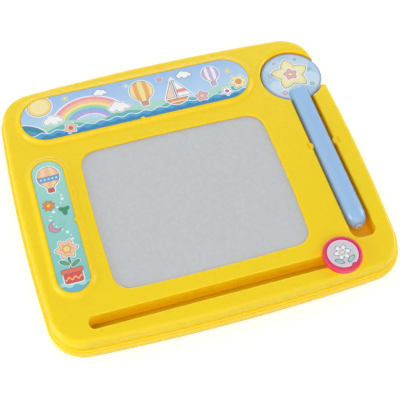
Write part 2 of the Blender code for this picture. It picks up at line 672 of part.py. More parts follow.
def front_frame(material):
    foot = FACE_HEIGHT - SHOULDER_RADIUS
    levels = [(case_outline(FRAME_INSET), FRAME_BOTTOM)]
    levels += [(case_outline(FRAME_INSET + i), foot + rise) for i, rise in shoulder(SHOULDER_RADIUS, 4)]
    frame = stacked("front_frame", levels, material)
    for panel in panels():
        join(frame, label_panel(*panel))
    cut(frame, frame_cavity())
    cut(frame, lipped("window_opening", lambda grow: window_outline(-grow), RAIL_BOTTOM, WINDOW_LIP))
    cut(frame, lipped("pen_groove", groove_outline, GROOVE_FLOOR, GROOVE_LIP))
    recess = lipped(
        "disc_recess",
        lambda grow: circle(GROOVE_X, DISC_Y, RECESS_RADIUS + grow),
        RECESS_FLOOR,
        RECESS_LIP,
    )
    cut(frame, recess)
    notch = notch_outline(0)
    cut(frame, stacked("frame_notch", [(notch, 0), (notch, PANEL_TOP + OVERRUN)]))
    cut(frame, lipped("eraser_slot", slot_outline, LOW_ARM_TOP, SLOT_LIP))
    for panel in panels():
        cut(frame, *panel_cuts(*panel))
    bore = CASE_SCREW[2] + SCREW_PLAY
    bore_top = screw_seat() + screw_length() + SCREW_PLAY
    for i, (x, y) in enumerate(screw_places()):
        cut(frame, cylinder(f"post_bore_{i + 1}", x, y, bore, case_post_bottom() - OVERRUN, bore_top))
    rail_bore = RAIL_SCREW[2] + SCREW_PLAY
    rail_bore_top = UNDER_FACE + FACE_THICKNESS / 3
    for i, (x, y) in enumerate(rail_screw_places()):
        cut(frame, cylinder(f"rail_bore_{i + 1}", x, y, rail_bore, RAIL_TOP - OVERRUN, rail_bore_top))
    for i, side in enumerate((-1, 1)):
        join(frame, pen_nub(f"pen_nub_{i + 1}", side))
        cut(frame, nub_dimple(f"nub_dimple_{i + 1}", side))
    return frame


def screw_length():
    """Length of a case screw's shank, from its seat into the frame's post."""
    return case_post_bottom() - screw_seat() + SCREW_BITE


def case_screws(material):
    for i, (x, y) in enumerate(screw_places()):
        seat = screw_seat() - SEAT_GAP
        screw_solid(f"case_screw_{i + 1}", x, y, seat, CASE_SCREW, screw_length(), material)


def screen(film_material, cell_material, back_material):
    layers = (
        ("screen_front_film", FRONT_FILM_TOP, FILM, film_material),
        ("screen_cell_sheet", CELL_TOP, CELL_SHEET, cell_material),
        ("screen_back_film", BACK_FILM_TOP, FILM, back_material),
    )
    outline = window_outline(-SCREEN_LAP)
    for name, top, thickness, material in layers:
        stacked(name, [(outline, top - thickness), (outline, top)], material)


def rails(material, screw_material):
    near_rail = block(
        "near_rail", RAIL_LEFT, RAIL_RIGHT, NEAR_RAIL_NEAR, NEAR_RAIL_FAR, RAIL_BOTTOM, RAIL_TOP, material
    )
    far_rail = block(
        "far_rail", RAIL_LEFT, RAIL_RIGHT, FAR_RAIL_NEAR, FAR_RAIL_FAR, RAIL_BOTTOM, RAIL_TOP, material
    )
    lip_low = ARM_BOTTOM + SEAT_GAP
    lip_top = RAIL_TOP - RAIL_THICKNESS / 2
    join(far_rail, block("rail_lip", RAIL_LEFT, RAIL_RIGHT, LIP_NEAR, LIP_FAR, lip_low, lip_top))
    bite = circle(GROOVE_X, DISC_Y, pan_clearance())
    cut(far_rail, stacked("rail_bite", [(bite, 0), (bite, FACE_HEIGHT)]))
    hole = RAIL_SCREW[2] + SCREW_PLAY
    places = rail_screw_places()
    for rail, ends in ((near_rail, places[:2]), (far_rail, places[2:])):
        for i, (x, y) in enumerate(ends):
            name = f"{rail.name}_hole_{i + 1}"
            cut(rail, cylinder(name, x, y, hole, RAIL_BOTTOM - OVERRUN, RAIL_TOP + OVERRUN))
    length = RAIL_THICKNESS + UNDER_FACE - RAIL_TOP
    for i, (x, y) in enumerate(places):
        seat = RAIL_BOTTOM - SEAT_GAP
        screw_solid(f"rail_screw_{i + 1}", x, y, seat, RAIL_SCREW, length, screw_material)


def label(name, outline, bed, material):
    low = bed + SEAT_GAP
    return stacked(name, [(outline, low), (outline, low + LABEL_THICKNESS)], material)


def case_labels(top_material, side_material):
    bed = PANEL_TOP - LABEL_POCKET
    for (_, left, right, near, far), name, material in zip(
        panels(), ("top_label", "side_label"), (top_material, side_material)
    ):
        corner = min(right - left, far - near) * LABEL_CORNER_SHARE
        outline = round_rectangle(left, right, near, far, corner, PANEL_BORDER)
        tab_x, tab_y = label_tab_place(left, right, near, far)
        low, high = bed - OVERRUN, PANEL_TOP + OVERRUN
        notch = cylinder(f"{name}_notch", tab_x, tab_y, LABEL_TAB + LABEL_PLAY, low, high)
        cut(label(name, outline, bed, material), notch)


def eraser_bar(material, magnet_material):
    half, arm = BAR_WIDTH / 2, BAR_ARM_WIDTH / 2
    profile = [
        (ARM_NEAR, LOW_ARM_BOTTOM),
        (RISER_FAR, LOW_ARM_BOTTOM),
        (RISER_FAR, ARM_BOTTOM),
        (ARM_FAR, ARM_BOTTOM),
        (ARM_FAR, ARM_TOP),
        (RISER_NEAR, ARM_TOP),
        (RISER_NEAR, LOW_ARM_TOP),
        (ARM_NEAR, LOW_ARM_TOP),
    ]
    rings = [[(x, y, z) for y, z in profile] for x in (BAR_X - arm, BAR_X + arm)]
    bar = new_object("eraser_bar", rings, material)
    sides = (BAR_X - half, BAR_X + half, BAR_NEAR, BAR_FAR)
    carrier = round_rectangle(*sides, BAR_SIDE_WALL, steps=ROUND_STEPS)
    join(bar, stacked("bar_carrier", [(carrier, ARM_BOTTOM), (carrier, BAR_TOP)]))
    bed = ARM_BOTTOM + MAGNET_BED
    left, right = BAR_X - half + BAR_SIDE_WALL, BAR_X + half - BAR_SIDE_WALL
    near, far = BAR_NEAR + BAR_SIDE_WALL, BAR_FAR - BAR_SIDE_WALL
    cut(bar, block("magnet_pocket", left, right, near, far, bed, BAR_TOP + OVERRUN))
    hole = KNOB_SCREW[2] + SCREW_PLAY
    well = KNOB_SCREW[0] + SCREW_PLAY
    cut(bar, cylinder("knob_screw_well", BAR_X, SLOT_Y, well, LOW_ARM_BOTTOM - OVERRUN, knob_screw_seat()))
    cut(bar, cylinder("knob_screw_hole", BAR_X, SLOT_Y, hole, LOW_ARM_BOTTOM, LOW_ARM_TOP + OVERRUN))
    play = SEAT_GAP
    block(
        "eraser_magnet",
        left + play,
        right - play,
        near + play,
        far - play,
        bed + play,
        BAR_TOP - play / 2,
        magnet_material,
    )


def knob_screw_seat():
    return LOW_ARM_BOTTOM + KNOB_SCREW[1] + 2 * SEAT_GAP


def eraser_knob(material, label_material, screw_material):
    low = FACE_HEIGHT + KNOB_FACE_GAP
    high = low + KNOB_HEIGHT
    levels = [(circle(BAR_X, SLOT_Y, KNOB_RADIUS - KNOB_EDGE / 2), low)]
    levels.append((circle(BAR_X, SLOT_Y, KNOB_RADIUS), low + KNOB_EDGE / 2))
    levels += [
        (circle(BAR_X, SLOT_Y, KNOB_RADIUS - inset), high - KNOB_EDGE + rise)
        for inset, rise in shoulder(KNOB_EDGE, 3)
    ]
    knob = stacked("eraser_knob", levels, material)
    half_x, half_y = STEM_LENGTH / 2, SLOT_HALF - STEM_SIDE_PLAY
    stem = round_rectangle(
        BAR_X - half_x, BAR_X + half_x, SLOT_Y - half_y, SLOT_Y + half_y, half_y, steps=ROUND_STEPS
    )
    stem_low = LOW_ARM_TOP + SEAT_GAP
    join(knob, stacked("knob_stem", [(stem, stem_low), (stem, low + KNOB_HEIGHT / 2)]))
    outline = circle(BAR_X, SLOT_Y, KNOB_RADIUS - KNOB_RIM)
    bed = high - KNOB_POCKET
    pocket = stacked("knob_pocket", [(outline, bed), (outline, high + OVERRUN)])
    angle = math.radians(KNOB_TAB_DEGREES)
    reach = KNOB_RADIUS - KNOB_RIM
    tab_x, tab_y = BAR_X + reach * math.cos(angle), SLOT_Y + reach * math.sin(angle)
    cut(pocket, cylinder("knob_tab", tab_x, tab_y, LABEL_TAB, bed - OVERRUN, high + 2 * OVERRUN))
    cut(knob, pocket)
    bore = KNOB_SCREW[2] + SCREW_PLAY
    bore_top = knob_screw_seat() + KNOB_SCREW_LENGTH + SCREW_PLAY
    cut(knob, cylinder("knob_bore", BAR_X, SLOT_Y, bore, stem_low - OVERRUN, bore_top))
    disc = label("knob_label", circle(BAR_X, SLOT_Y, reach - LABEL_PLAY), bed, label_material)
    notch = LABEL_TAB + LABEL_PLAY
    cut(disc, cylinder("knob_label_notch", tab_x, tab_y, notch, bed - OVERRUN, high + OVERRUN))
    seat = knob_screw_seat() - SEAT_GAP
    screw_solid("knob_screw", BAR_X, SLOT_Y, seat, KNOB_SCREW, KNOB_SCREW_LENGTH, screw_material)


def section(y, z, radius):
    """One ring round the pen's length, at y."""
    turns = [2 * math.pi * i / SECTION_STEPS for i in range(SECTION_STEPS)]
    return [(GROOVE_X + radius * math.cos(a), y, z + radius * math.sin(a)) for a in turns]


def stick(name, shrink, material=None):
    """The pen's round stick, domed at the far end and tapered to the tip, or the hollow inside it."""
    radius = PEN_RADIUS - shrink
    dome = STICK_FAR_END - PEN_DOME
    tip = PEN_NEAR_END + shrink
    shoulder_y = PEN_NEAR_END + PEN_TAPER
    rings = [section(tip, PEN_Z - PEN_TIP_DROP, PEN_TIP_RADIUS - shrink / 2)]
    for a in quarter_angles()[1:]:
        along = tip + (shoulder_y - tip) * (1 - math.cos(a))
        swell = PEN_TIP_RADIUS - shrink / 2 + (radius - PEN_TIP_RADIUS + shrink / 2) * math.sin(a)
        rings.append(section(along, PEN_Z - PEN_TIP_DROP * (1 - math.sin(a)), swell))
    for i in range(ROUND_STEPS * 2):
        a = math.pi / 2 * i / (ROUND_STEPS * 2)
        rings.append(section(dome + (PEN_DOME - shrink) * math.sin(a), PEN_Z, radius * math.cos(a)))
    return new_object(name, list(reversed(rings)), material)


def pen_disc(name):
    """The pen's flat round head, with its edges rounded above and below."""
    edge = shoulder(PEN_DISC_EDGE)
    levels = [(inset, DISC_BOTTOM + PEN_DISC_EDGE - rise) for inset, rise in reversed(edge)]
    levels += [(inset, DISC_TOP - PEN_DISC_EDGE + rise) for inset, rise in edge]
    return stacked(name, [(circle(GROOVE_X, DISC_Y, PEN_DISC_RADIUS - inset), z) for inset, z in levels])


def disc_hollow(name):
    ring = circle(GROOVE_X, DISC_Y, PEN_DISC_RADIUS - 2 * PEN_DISC_PLATE)
    return stacked(name, [(ring, DISC_BOTTOM + PEN_DISC_PLATE), (ring, DISC_TOP - PEN_DISC_PLATE)])


def pen_shell(name, low, high, material):
    """One half of the pen's hollow body, between two heights."""
    shell = pen_disc(name)
    shell.data.materials.append(material)
    bed = DISC_TOP - PEN_DISC_POCKET
    pocket = circle(GROOVE_X, DISC_Y, PEN_DISC_RADIUS - PEN_DISC_RIM)
    cut(shell, stacked(f"{name}_pocket", [(pocket, bed), (pocket, DISC_TOP + OVERRUN)]))
    join(shell, stick(f"{name}_stick", 0))
    cut(shell, stick(f"{name}_hollow", PEN_WALL))
    cut(shell, disc_hollow(f"{name}_disc_hollow"))
    nib = NIB_RADIUS + SEAT_GAP
    tip_z = PEN_Z - PEN_TIP_DROP
    ends = (PEN_NEAR_END - OVERRUN, PEN_NEAR_END + NIB_LENGTH)
    bore = [tip_ring(y, tip_z, nib) for y in ends]
    cut(shell, new_object(f"{name}_tip_bore", bore, None))
    reach = BOARD_DEPTH
    half = block(f"{name}_half", -reach, reach, -reach, reach, low, high)
    combine(shell, half, "INTERSECT")
    return shell


def tip_ring(y, z, radius):
    turns = [2 * math.pi * i / SMALL_CIRCLE_STEPS for i in range(SMALL_CIRCLE_STEPS)]
    return [(GROOVE_X + radius * math.cos(a), y, z + radius * math.sin(a)) for a in turns]


def pen(body_material, label_material, nib_material, magnet_material):
    parting = (DISC_TOP + DISC_BOTTOM) / 2
    pen_shell("pen_front_shell", parting + SEAT_GAP / 2, FACE_HEIGHT * 2, body_material)
    pen_shell("pen_back_shell", 0, parting - SEAT_GAP / 2, body_material)
    tip_z = PEN_Z - PEN_TIP_DROP
    mouth = PEN_NEAR_END - SEAT_GAP
    front = mouth - NIB_COLLAR
    chamfer = NIB_COLLAR / 3
    inner_end = PEN_NEAR_END + NIB_LENGTH - SEAT_GAP
    rings = [
        tip_ring(front, tip_z, NIB_COLLAR_RADIUS - chamfer),
        tip_ring(front + chamfer, tip_z, NIB_COLLAR_RADIUS),
        tip_ring(mouth, tip_z, NIB_COLLAR_RADIUS),
        tip_ring(mouth, tip_z, NIB_RADIUS),
        tip_ring(inner_end, tip_z, NIB_RADIUS),
    ]
    nib = new_object("pen_nib", list(reversed(rings)), nib_material)
    bore_end = front + PEN_MAGNET_LENGTH + SEAT_GAP
    bore = [tip_ring(y, tip_z, PEN_MAGNET_RADIUS + SEAT_GAP) for y in (front - OVERRUN, bore_end)]
    cut(nib, new_object("nib_bore", bore, None))
    magnet = [tip_ring(y, tip_z, PEN_MAGNET_RADIUS) for y in (front, front + PEN_MAGNET_LENGTH)]
    new_object("pen_magnet", magnet, magnet_material)
    bed = DISC_TOP - PEN_DISC_POCKET
    outline = circle(GROOVE_X, DISC_Y, PEN_DISC_RADIUS - PEN_DISC_RIM - LABEL_PLAY)
    head_label = label("pen_head_label", outline, bed, label_material)
    half = PEN_RADIUS + LABEL_PLAY
    far = STICK_FAR_END + LABEL_PLAY
    gap = round_rectangle(GROOVE_X - half, GROOVE_X + half, PEN_NEAR_END, far, PEN_DOME + LABEL_PLAY)
    low, high = bed - OVERRUN, bed + OVERRUN
    cut(head_label, stacked("label_gap", [(gap, low), (gap, high)]))


def with_cutters(piece):
    """The piece, its cutters and the cutters that shape those."""
    found = [piece]
    for modifier in piece.modifiers:
        found += with_cutters(modifier.object)
    return found


def carry(name, place, piece_names):
    """Hangs the pieces of a moving body, with their cutters, on one empty that moves them all."""
    holder = bpy.data.objects.new(name, None)
    holder.location = place
    bpy.context.scene.collection.objects.link(holder)
    for piece_name in piece_names:
        for part in with_cutters(bpy.data.objects[piece_name]):
            part.parent = holder
            part.location = [-value for value in place]


def build():
    for old in list(bpy.data.objects):
        bpy.data.objects.remove(old, do_unlink=True)
    yellow = plastic("yellow_plastic", (0.87, 0.60, 0.03), 0.32)
    back_cover(yellow)
    front_frame(yellow)
    steel = plastic("screw_steel", (0.55, 0.55, 0.57), 0.35, 1.0)
    case_screws(steel)
    screen(
        plastic("clear_film", (0.78, 0.79, 0.80), 0.12, alpha=0.4),
        plastic("cell_sheet", (0.53, 0.54, 0.55), 0.5),
        plastic("backing_film", (0.75, 0.75, 0.74), 0.5),
    )
    rails(plastic("white_plastic", (0.82, 0.82, 0.80), 0.4), steel)
    top_print = plastic("top_print", (0.42, 0.62, 0.80), 0.3)
    case_labels(top_print, plastic("side_print", (0.33, 0.66, 0.58), 0.3))
    rubber = plastic("magnet_rubber", (0.05, 0.045, 0.04), 0.7)
    eraser_bar(plastic("grey_plastic", (0.45, 0.46, 0.48), 0.45), rubber)
    pink = plastic("pink_plastic", (0.87, 0.07, 0.19), 0.3)
    eraser_knob(pink, plastic("knob_print", (0.80, 0.70, 0.75), 0.3), steel)
    pen(
        plastic("blue_plastic", (0.32, 0.52, 0.86), 0.35),
        plastic("disc_print", (0.45, 0.66, 0.82), 0.3),
        plastic("nib_plastic", (0.85, 0.85, 0.82), 0.4),
        plastic("magnet_metal", (0.32, 0.32, 0.34), 0.4, 1.0),
    )
    eraser_pieces = ("eraser_bar", "eraser_magnet", "eraser_knob", "knob_label", "knob_screw")
    carry("eraser_slider", (BAR_X, SLOT_Y, FACE_HEIGHT), eraser_pieces)
    pen_pieces = ("pen_front_shell", "pen_back_shell", "pen_head_label", "pen_nib", "pen_magnet")
    carry("pen_lifted", (GROOVE_X, DISC_Y, DISC_TOP), pen_pieces)


build()
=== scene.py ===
from math import atan2, cos, dist, pi, radians, sin, sqrt

import bpy
from mathutils import Matrix, Vector


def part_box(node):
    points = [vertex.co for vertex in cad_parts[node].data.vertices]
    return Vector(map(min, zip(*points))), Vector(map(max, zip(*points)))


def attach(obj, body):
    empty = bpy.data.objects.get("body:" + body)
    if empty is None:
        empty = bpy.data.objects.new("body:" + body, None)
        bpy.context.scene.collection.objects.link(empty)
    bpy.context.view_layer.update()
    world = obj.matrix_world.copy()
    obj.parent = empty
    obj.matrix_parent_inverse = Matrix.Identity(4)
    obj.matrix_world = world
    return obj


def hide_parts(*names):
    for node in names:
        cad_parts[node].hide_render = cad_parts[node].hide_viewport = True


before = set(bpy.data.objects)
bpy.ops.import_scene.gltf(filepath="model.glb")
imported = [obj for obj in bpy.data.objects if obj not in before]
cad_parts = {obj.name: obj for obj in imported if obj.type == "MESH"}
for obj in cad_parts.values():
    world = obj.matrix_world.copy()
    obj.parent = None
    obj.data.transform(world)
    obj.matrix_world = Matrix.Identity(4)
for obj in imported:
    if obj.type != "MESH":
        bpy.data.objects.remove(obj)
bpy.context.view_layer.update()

# Sizes in metres. Heights are measured from the surface that the board lies on.
BOARD = (-0.12, 0.12, -0.1062, 0.1062)
SIDE_BOW, END_BOW, BOARD_CORNER = 0.0046, 0.005, 0.0242
FACE, LEDGE, FLOOR = 0.018, 0.0068, 0.002
FRAME_INSET, CAVITY_INSET, SHOULDER = 0.0023, 0.0042, 0.004
FRAME_FOOT, UNDER_FACE, SHELL_PLAY = 0.0023, 0.0163, 0.00004
HOLLOW_TOP = UNDER_FACE + 0.0008
RIB_NEAR_SIDES, RIB_END, RIB_WIDTH, RIB_TOP = (-0.0784, 0.0437), 0.0829, 0.0016, 0.0083
UNDERSIDE_BORDER, UNDERSIDE_DEPTH = 0.012, 0.0006

WINDOW = (-0.071, 0.0617, -0.0728, 0.0397)
WINDOW_BOW, WINDOW_CORNER = 0.0015, 0.0115
FENCE_OUTSIDE, FENCE_INSIDE, FENCE_FOOT = 0.0066, 0.0054, 0.0138
TOP_PANEL = (-0.1053, 0.066, 0.0518, 0.094)
SIDE_PANEL = (-0.107, -0.0805, -0.0686, 0.0397)
PANEL_TOP, PANEL_RIM, PANEL_WALL = 0.0202, 0.0025, 0.0042
PANEL_HOLLOW = (0.0143, 0.0177)
POCKET_BED, POCKET_LIP, TAB_RADIUS = 0.0194, 0.0002, 0.0015
LABEL_THICKNESS, LABEL_PLAY, LABEL_LIFT = 0.0003, 0.0003, 0.0003

PEN_X, DISC_Y = 0.095, 0.0649
GROOVE_HALF, GROOVE_BED, GROOVE_CORNER = 0.0085, 0.0069, 0.0062
GROOVE = (PEN_X - GROOVE_HALF, PEN_X + GROOVE_HALF, -0.0778, 0.0549)
RECESS_RADIUS, RECESS_BED, PAN_WALL = 0.0229, 0.0113, 0.0018
NOTCH_DEPTH, NOTCH_WIDTH, NOTCH_HORN, NOTCH_WALL = 0.0067, 0.0262, 0.0032, 0.0019
CATCH_Y, CATCH_HALF, CATCH_REACH, CATCH_ROOT = 0.0005, 0.0023, 0.0013, 0.0009
SLOT_Y, SLOT_FOOT, SKIRT_WALL = -0.08825, 0.0055, 0.001
SLOT = (-0.092, 0.07825, SLOT_Y - 0.0043, SLOT_Y + 0.0043)
KNOB_X, KNOB_RADIUS, KNOB_FOOT, KNOB_TOP = 0.07385, 0.0129, 0.0184, 0.0228
KNOB_POCKET, KNOB_BED = 0.0107, 0.0218
STEM = (KNOB_X - 0.004, KNOB_X + 0.004, SLOT_Y - 0.00375, SLOT_Y + 0.00375)

STICK_RADIUS, STICK_AXIS, STICK_NEAR, STICK_FAR = 0.007, 0.0141, -0.0669, 0.0532
STICK_WALL, TIP_DROP, TIP_BORE = 0.0016, 0.0016, 0.0022
DISC_RADIUS, DISC_FOOT, DISC_TOP, DISC_WALL = 0.022, 0.0116, 0.0156, 0.0014
DISC_POCKET, DISC_BED, DISC_HOLLOW = 0.0212, 0.015, 0.0192
PEN_PARTING, PARTING_GAP = 0.0136, 0.00015

# How far a cutter reaches past what it cuts, and the least step between two levels
PAST, HAIR = 0.002, 0.00001

# Posts and bores at the screws: radius, foot, top, corners
POSTS = {
    "boss": (0.0039, 0.001, 0.0073, 48),
    "screw_well": (0.0031, -PAST, 0.0031, 48),
    "screw_hole": (0.0015, 0.002, 0.009, 24),
    "screw_post": (0.003, 0.0076, HOLLOW_TOP, 48),
    "rail_post": (0.0024, 0.0134, HOLLOW_TOP, 48),
    "post_bore": (0.0015, 0.006, 0.0139, 24),
    "rail_bore": (0.0012, 0.011, 0.01687, 24),
}

# The side of a raised panel, in millimetres out from its edge and up from the face
PANEL_OUT = (3.3, 2.8, 2.3, 1.8, 1.3, 0.9, 0.55, 0.25)
PANEL_OUT += (0, -0.18, -0.36, -0.56, -0.8, -1.08, -1.4, -1.75)
PANEL_UP = (0, 0.03, 0.08, 0.16, 0.29, 0.45, 0.66, 0.93)
PANEL_UP += (1.2, 1.42, 1.62, 1.8, 1.96, 2.09, 2.17, 2.2)


# Outlines in plan, anticlockwise


def around(middle, radius, turn):
    """The point of a circle at one turn."""
    return middle[0] + radius * cos(turn), middle[1] + radius * sin(turn)


def arc(middle, radius, start, end, steps):
    """Points of an arc, its last point left out."""
    return [around(middle, radius, start + (end - start) * i / steps) for i in range(steps)]


def circle(x, y, radius, steps):
    return arc((x, y), radius, 0, 2 * pi, steps)


def centre(sides):
    left, right, near, far = sides
    return (left + right) / 2, (near + far) / 2


def block(left, right, near, far):
    return [(left, near), (right, near), (right, far), (left, far)]


def meeting(first, first_radius, second, second_radius):
    """Where two circles cross, on the right of the way from the first middle to the second."""
    apart = dist(first, second)
    along = (first_radius**2 - second_radius**2 + apart**2) / (2 * apart)
    across = sqrt(first_radius**2 - along**2)
    unit = ((second[0] - first[0]) / apart, (second[1] - first[1]) / apart)
    x, y = first[0] + unit[0] * along, first[1] + unit[1] * along
    return x + unit[1] * across, y - unit[0] * across


def heading(start, end):
    return atan2(end[1] - start[1], end[0] - start[0])


def bow_circles(half_x, half_y, side_bow, end_bow, corner):
    """Middles and radii of the far edge and the right side, and the middle of the corner."""
    end_radius = (half_x**2 + end_bow**2) / (2 * end_bow)
    side_radius = (half_y**2 + side_bow**2) / (2 * side_bow)
    end_middle, side_middle = (0, half_y - end_radius), (half_x - side_radius, 0)
    corner_middle = meeting(end_middle, end_radius - corner, side_middle, side_radius - corner)
    return end_middle, end_radius, side_middle, side_radius, corner_middle


def bowed(sides, side_bow, end_bow, corner, inset):
    """A rectangle with round corners whose four sides bow outwards."""
    left, right, near, far = sides
    half_x, half_y = (right - left) / 2, (far - near) / 2
    end_middle, end_radius, side_middle, side_radius, corner_middle = bow_circles(
        half_x, half_y, side_bow, end_bow, corner
    )
    low, high = heading(side_middle, corner_middle), heading(end_middle, corner_middle)
    quarter = arc(side_middle, side_radius - inset, 0, low, 12)
    quarter += arc(corner_middle, corner - inset, low, high, 16)
    quarter += arc(end_middle, end_radius - inset, high, pi / 2, 12)
    left_quarter = [(-x, y) for x, y in reversed(quarter[1:])]
    upper = quarter + [(0, half_y - inset)] + left_quarter + [(inset - half_x, 0)]
    lower = [(x, -y) for x, y in reversed(upper[1:-1])]
    middle = centre(sides)
    return [(x + middle[0], y + middle[1]) for x, y in upper + lower]


def case_edge(inset):
    return bowed(BOARD, SIDE_BOW, END_BOW, BOARD_CORNER, inset)


def window_edge(grow):
    return bowed(WINDOW, WINDOW_BOW, WINDOW_BOW, WINDOW_CORNER, -grow)


def capsule(sides, grow=0, corner=None, steps=20):
    """A bar with fully round ends, or with round corners of their own radius."""
    left, right, near, far = sides[0] - grow, sides[1] + grow, sides[2] - grow, sides[3] + grow
    radius = corner + grow if corner else min(right - left, far - near) / 2
    corners = ((right, far, -1, -1), (left, far, 1, -1), (left, near, 1, 1), (right, near, -1, 1))
    points = []
    for i, (x, y, in_x, in_y) in enumerate(corners):
        middle = (x + in_x * radius, y + in_y * radius)
        points += arc(middle, radius, i * pi / 2, (i + 1) * pi / 2, steps)
        points.append(around(middle, radius, (i + 1) * pi / 2))
    return [p for i, p in enumerate(points) if dist(p, points[i - 1]) > 1e-6]


def groove_edge(grow):
    return capsule(GROOVE, grow, GROOVE_CORNER)


def slot_edge(grow):
    return capsule(SLOT, grow)


def recess_edge(grow):
    return circle(PEN_X, DISC_Y, RECESS_RADIUS + grow, 128)


def notch_edge(grow):
    """The finger notch: a scoop out of the right side whose two horns round into it."""
    horn, depth = NOTCH_HORN, NOTCH_DEPTH
    scoop = ((NOTCH_WIDTH / 2) ** 2 + depth**2) / (2 * depth)
    middle = (BOARD[1] - FRAME_INSET - depth + scoop, DISC_Y)
    circles = bow_circles(BOARD[1], BOARD[3], SIDE_BOW, END_BOW, BOARD_CORNER)
    side_middle, side_radius, corner_middle = circles[2:]
    drawn_in = FRAME_INSET + horn
    reach = drawn_in + 2 * PAST
    near = meeting(side_middle, side_radius - drawn_in, middle, scoop + horn)
    far = meeting(middle, scoop + horn, corner_middle, BOARD_CORNER - drawn_in)
    near_out, far_out = heading(side_middle, near), heading(corner_middle, far)
    points = [around(near, reach, near_out)]
    points += arc(near, horn - grow, near_out, heading(near, middle), 10)
    near_back = heading(middle, near) % (2 * pi)
    points += arc(middle, scoop + grow, near_back, heading(middle, far), 28)
    points += arc(far, horn - grow, heading(far, middle), far_out, 10)
    return points + [around(far, reach, far_out)]


# Modelling


def mode(kind):
    bpy.ops.object.mode_set(mode=kind)


def edit(piece, kind="FACE"):
    """Takes one piece alone, with nothing on it selected."""
    bpy.ops.object.select_all(action="DESELECT")
    piece.select_set(True)
    bpy.context.view_layer.objects.active = piece
    mode("EDIT")
    bpy.ops.mesh.select_mode(type=kind)
    bpy.ops.mesh.select_all(action="DESELECT")
    mode("OBJECT")


def select(piece, kind, parts, test):
    """Selects the faces or edges that pass a test and stays in edit mode."""
    edit(piece, kind)
    for part in getattr(piece.data, parts):
        part.select = test(part)
    mode("EDIT")


def face_outwards(piece, merge=0.0):
    """Merges points that lie together, if asked, and turns all faces outwards."""
    edit(piece)
    mode("EDIT")
    bpy.ops.mesh.select_all(action="SELECT")
    if merge:
        bpy.ops.mesh.remove_doubles(threshold=merge)
    bpy.ops.mesh.normals_make_consistent(inside=False)
    mode("OBJECT")


def round_place(place):
    return tuple(round(value, 8) for value in place)


def stack(name, rings):
    """Starts from a filled circle, lays it on the first ring and extrudes it through the rest."""
    count = len(rings[0])
    bpy.ops.object.select_all(action="DESELECT")
    bpy.ops.mesh.primitive_circle_add(vertices=count, radius=1, fill_type="NGON")
    piece = bpy.context.object
    piece.name = piece.data.name = name
    for vertex, place in zip(piece.data.vertices, rings[0]):
        vertex.co = place
    newest = list(range(count))
    for ring in rings[1:]:
        last = {round_place(piece.data.vertices[i].co): place for i, place in zip(newest, ring)}
        select(piece, "FACE", "polygons", lambda face: set(face.vertices) == set(newest))
        bpy.ops.mesh.extrude_region_move()
        mode("OBJECT")
        lifted = [vertex for vertex in piece.data.vertices if vertex.select]
        places = {vertex.index: last[round_place(vertex.co)] for vertex in lifted}
        for index, place in places.items():
            piece.data.vertices[index].co = place
        order = {place: i for i, place in enumerate(ring)}
        newest = sorted(places, key=lambda index: order[places[index]])
    face_outwards(piece)
    return piece


def plate(name, outline, low, high):
    return stack(name, [[(x, y, z) for x, y in outline] for z in (low, high)])


def layers(name, levels):
    """A solid through outlines at their heights, lowest first."""
    return stack(name, [[(x, y, z) for x, y in outline] for outline, z in levels])


def bevel(piece, height, width, segments):
    """Rounds the edges that lie at one height."""

    def level(line):
        return all(abs(piece.data.vertices[i].co.z - height) < 1e-6 for i in line.vertices)

    select(piece, "EDGE", "edges", level)
    bpy.ops.mesh.bevel(offset=width, segments=segments)
    mode("OBJECT")
    return piece


def quarter_round(radius, steps):
    turns = [pi / 2 * i / steps for i in range(steps + 1)]
    return [(radius * (1 - cos(a)), radius * sin(a)) for a in turns]


def lipped(name, outline_of, low, lip, top=FACE, foot=0.0, steps=8):
    """A cutter for an opening whose edge rolls outwards, and whose floor rounds up if asked."""
    levels = [(outline_of(0), low)]
    if foot:
        rounded = reversed(quarter_round(foot, 6))
        levels = [(outline_of(-inset), low + foot - rise) for inset, rise in rounded]
    levels += [(outline_of(grow), top - lip + rise) for grow, rise in quarter_round(lip, steps)]
    levels.append((outline_of(lip), top + 2 * PAST))
    return layers(name, levels)


def combine(piece, tool, operation):
    """Cuts or joins by a tool, and throws the tool away."""
    edit(piece)
    change = piece.modifiers.new(operation, "BOOLEAN")
    change.object, change.operation, change.solver = tool, operation, "MANIFOLD"
    bpy.ops.object.modifier_apply(modifier=change.name)
    bpy.data.objects.remove(tool, do_unlink=True)


def cut(piece, tool):
    combine(piece, tool, "DIFFERENCE")


def join(piece, tool):
    combine(piece, tool, "UNION")


def complete(piece, material, body, replaced):
    """Merges, smooths and paints a finished piece and puts it in place of its CAD nodes."""
    face_outwards(piece, merge=2e-7)
    bpy.ops.object.shade_smooth_by_angle(angle=radians(32))
    even = piece.modifiers.new("even", "WEIGHTED_NORMAL")
    even.keep_sharp, even.weight = True, 100
    bpy.ops.object.modifier_apply(modifier=even.name)
    piece.data.materials.clear()
    piece.data.materials.append(material)
    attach(piece, body)
    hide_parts(*replaced)


def middle_of(node):
    low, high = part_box(node)
    return (low.x + high.x) / 2, (low.y + high.y) / 2


CASE_SCREWS = [f"case_screw_{i}" for i in range(1, 9)]
RAIL_SCREWS = [f"rail_screw_{i}" for i in range(1, 5)]
SCREW_PLACES = [middle_of(node) for node in CASE_SCREWS]
RAIL_PLACES = [middle_of(node) for node in RAIL_SCREWS]


def rod(name, x, y, radius, low, high, steps=48):
    return plate(name, circle(x, y, radius, steps), low, high)


def at_screws(change, piece, *names):
    """Cuts out or joins on the named rods at every screw."""
    places = RAIL_PLACES if names[0].startswith("rail") else SCREW_PLACES
    for place in places:
        for name in names:
            change(piece, rod(name, *place, *POSTS[name]))


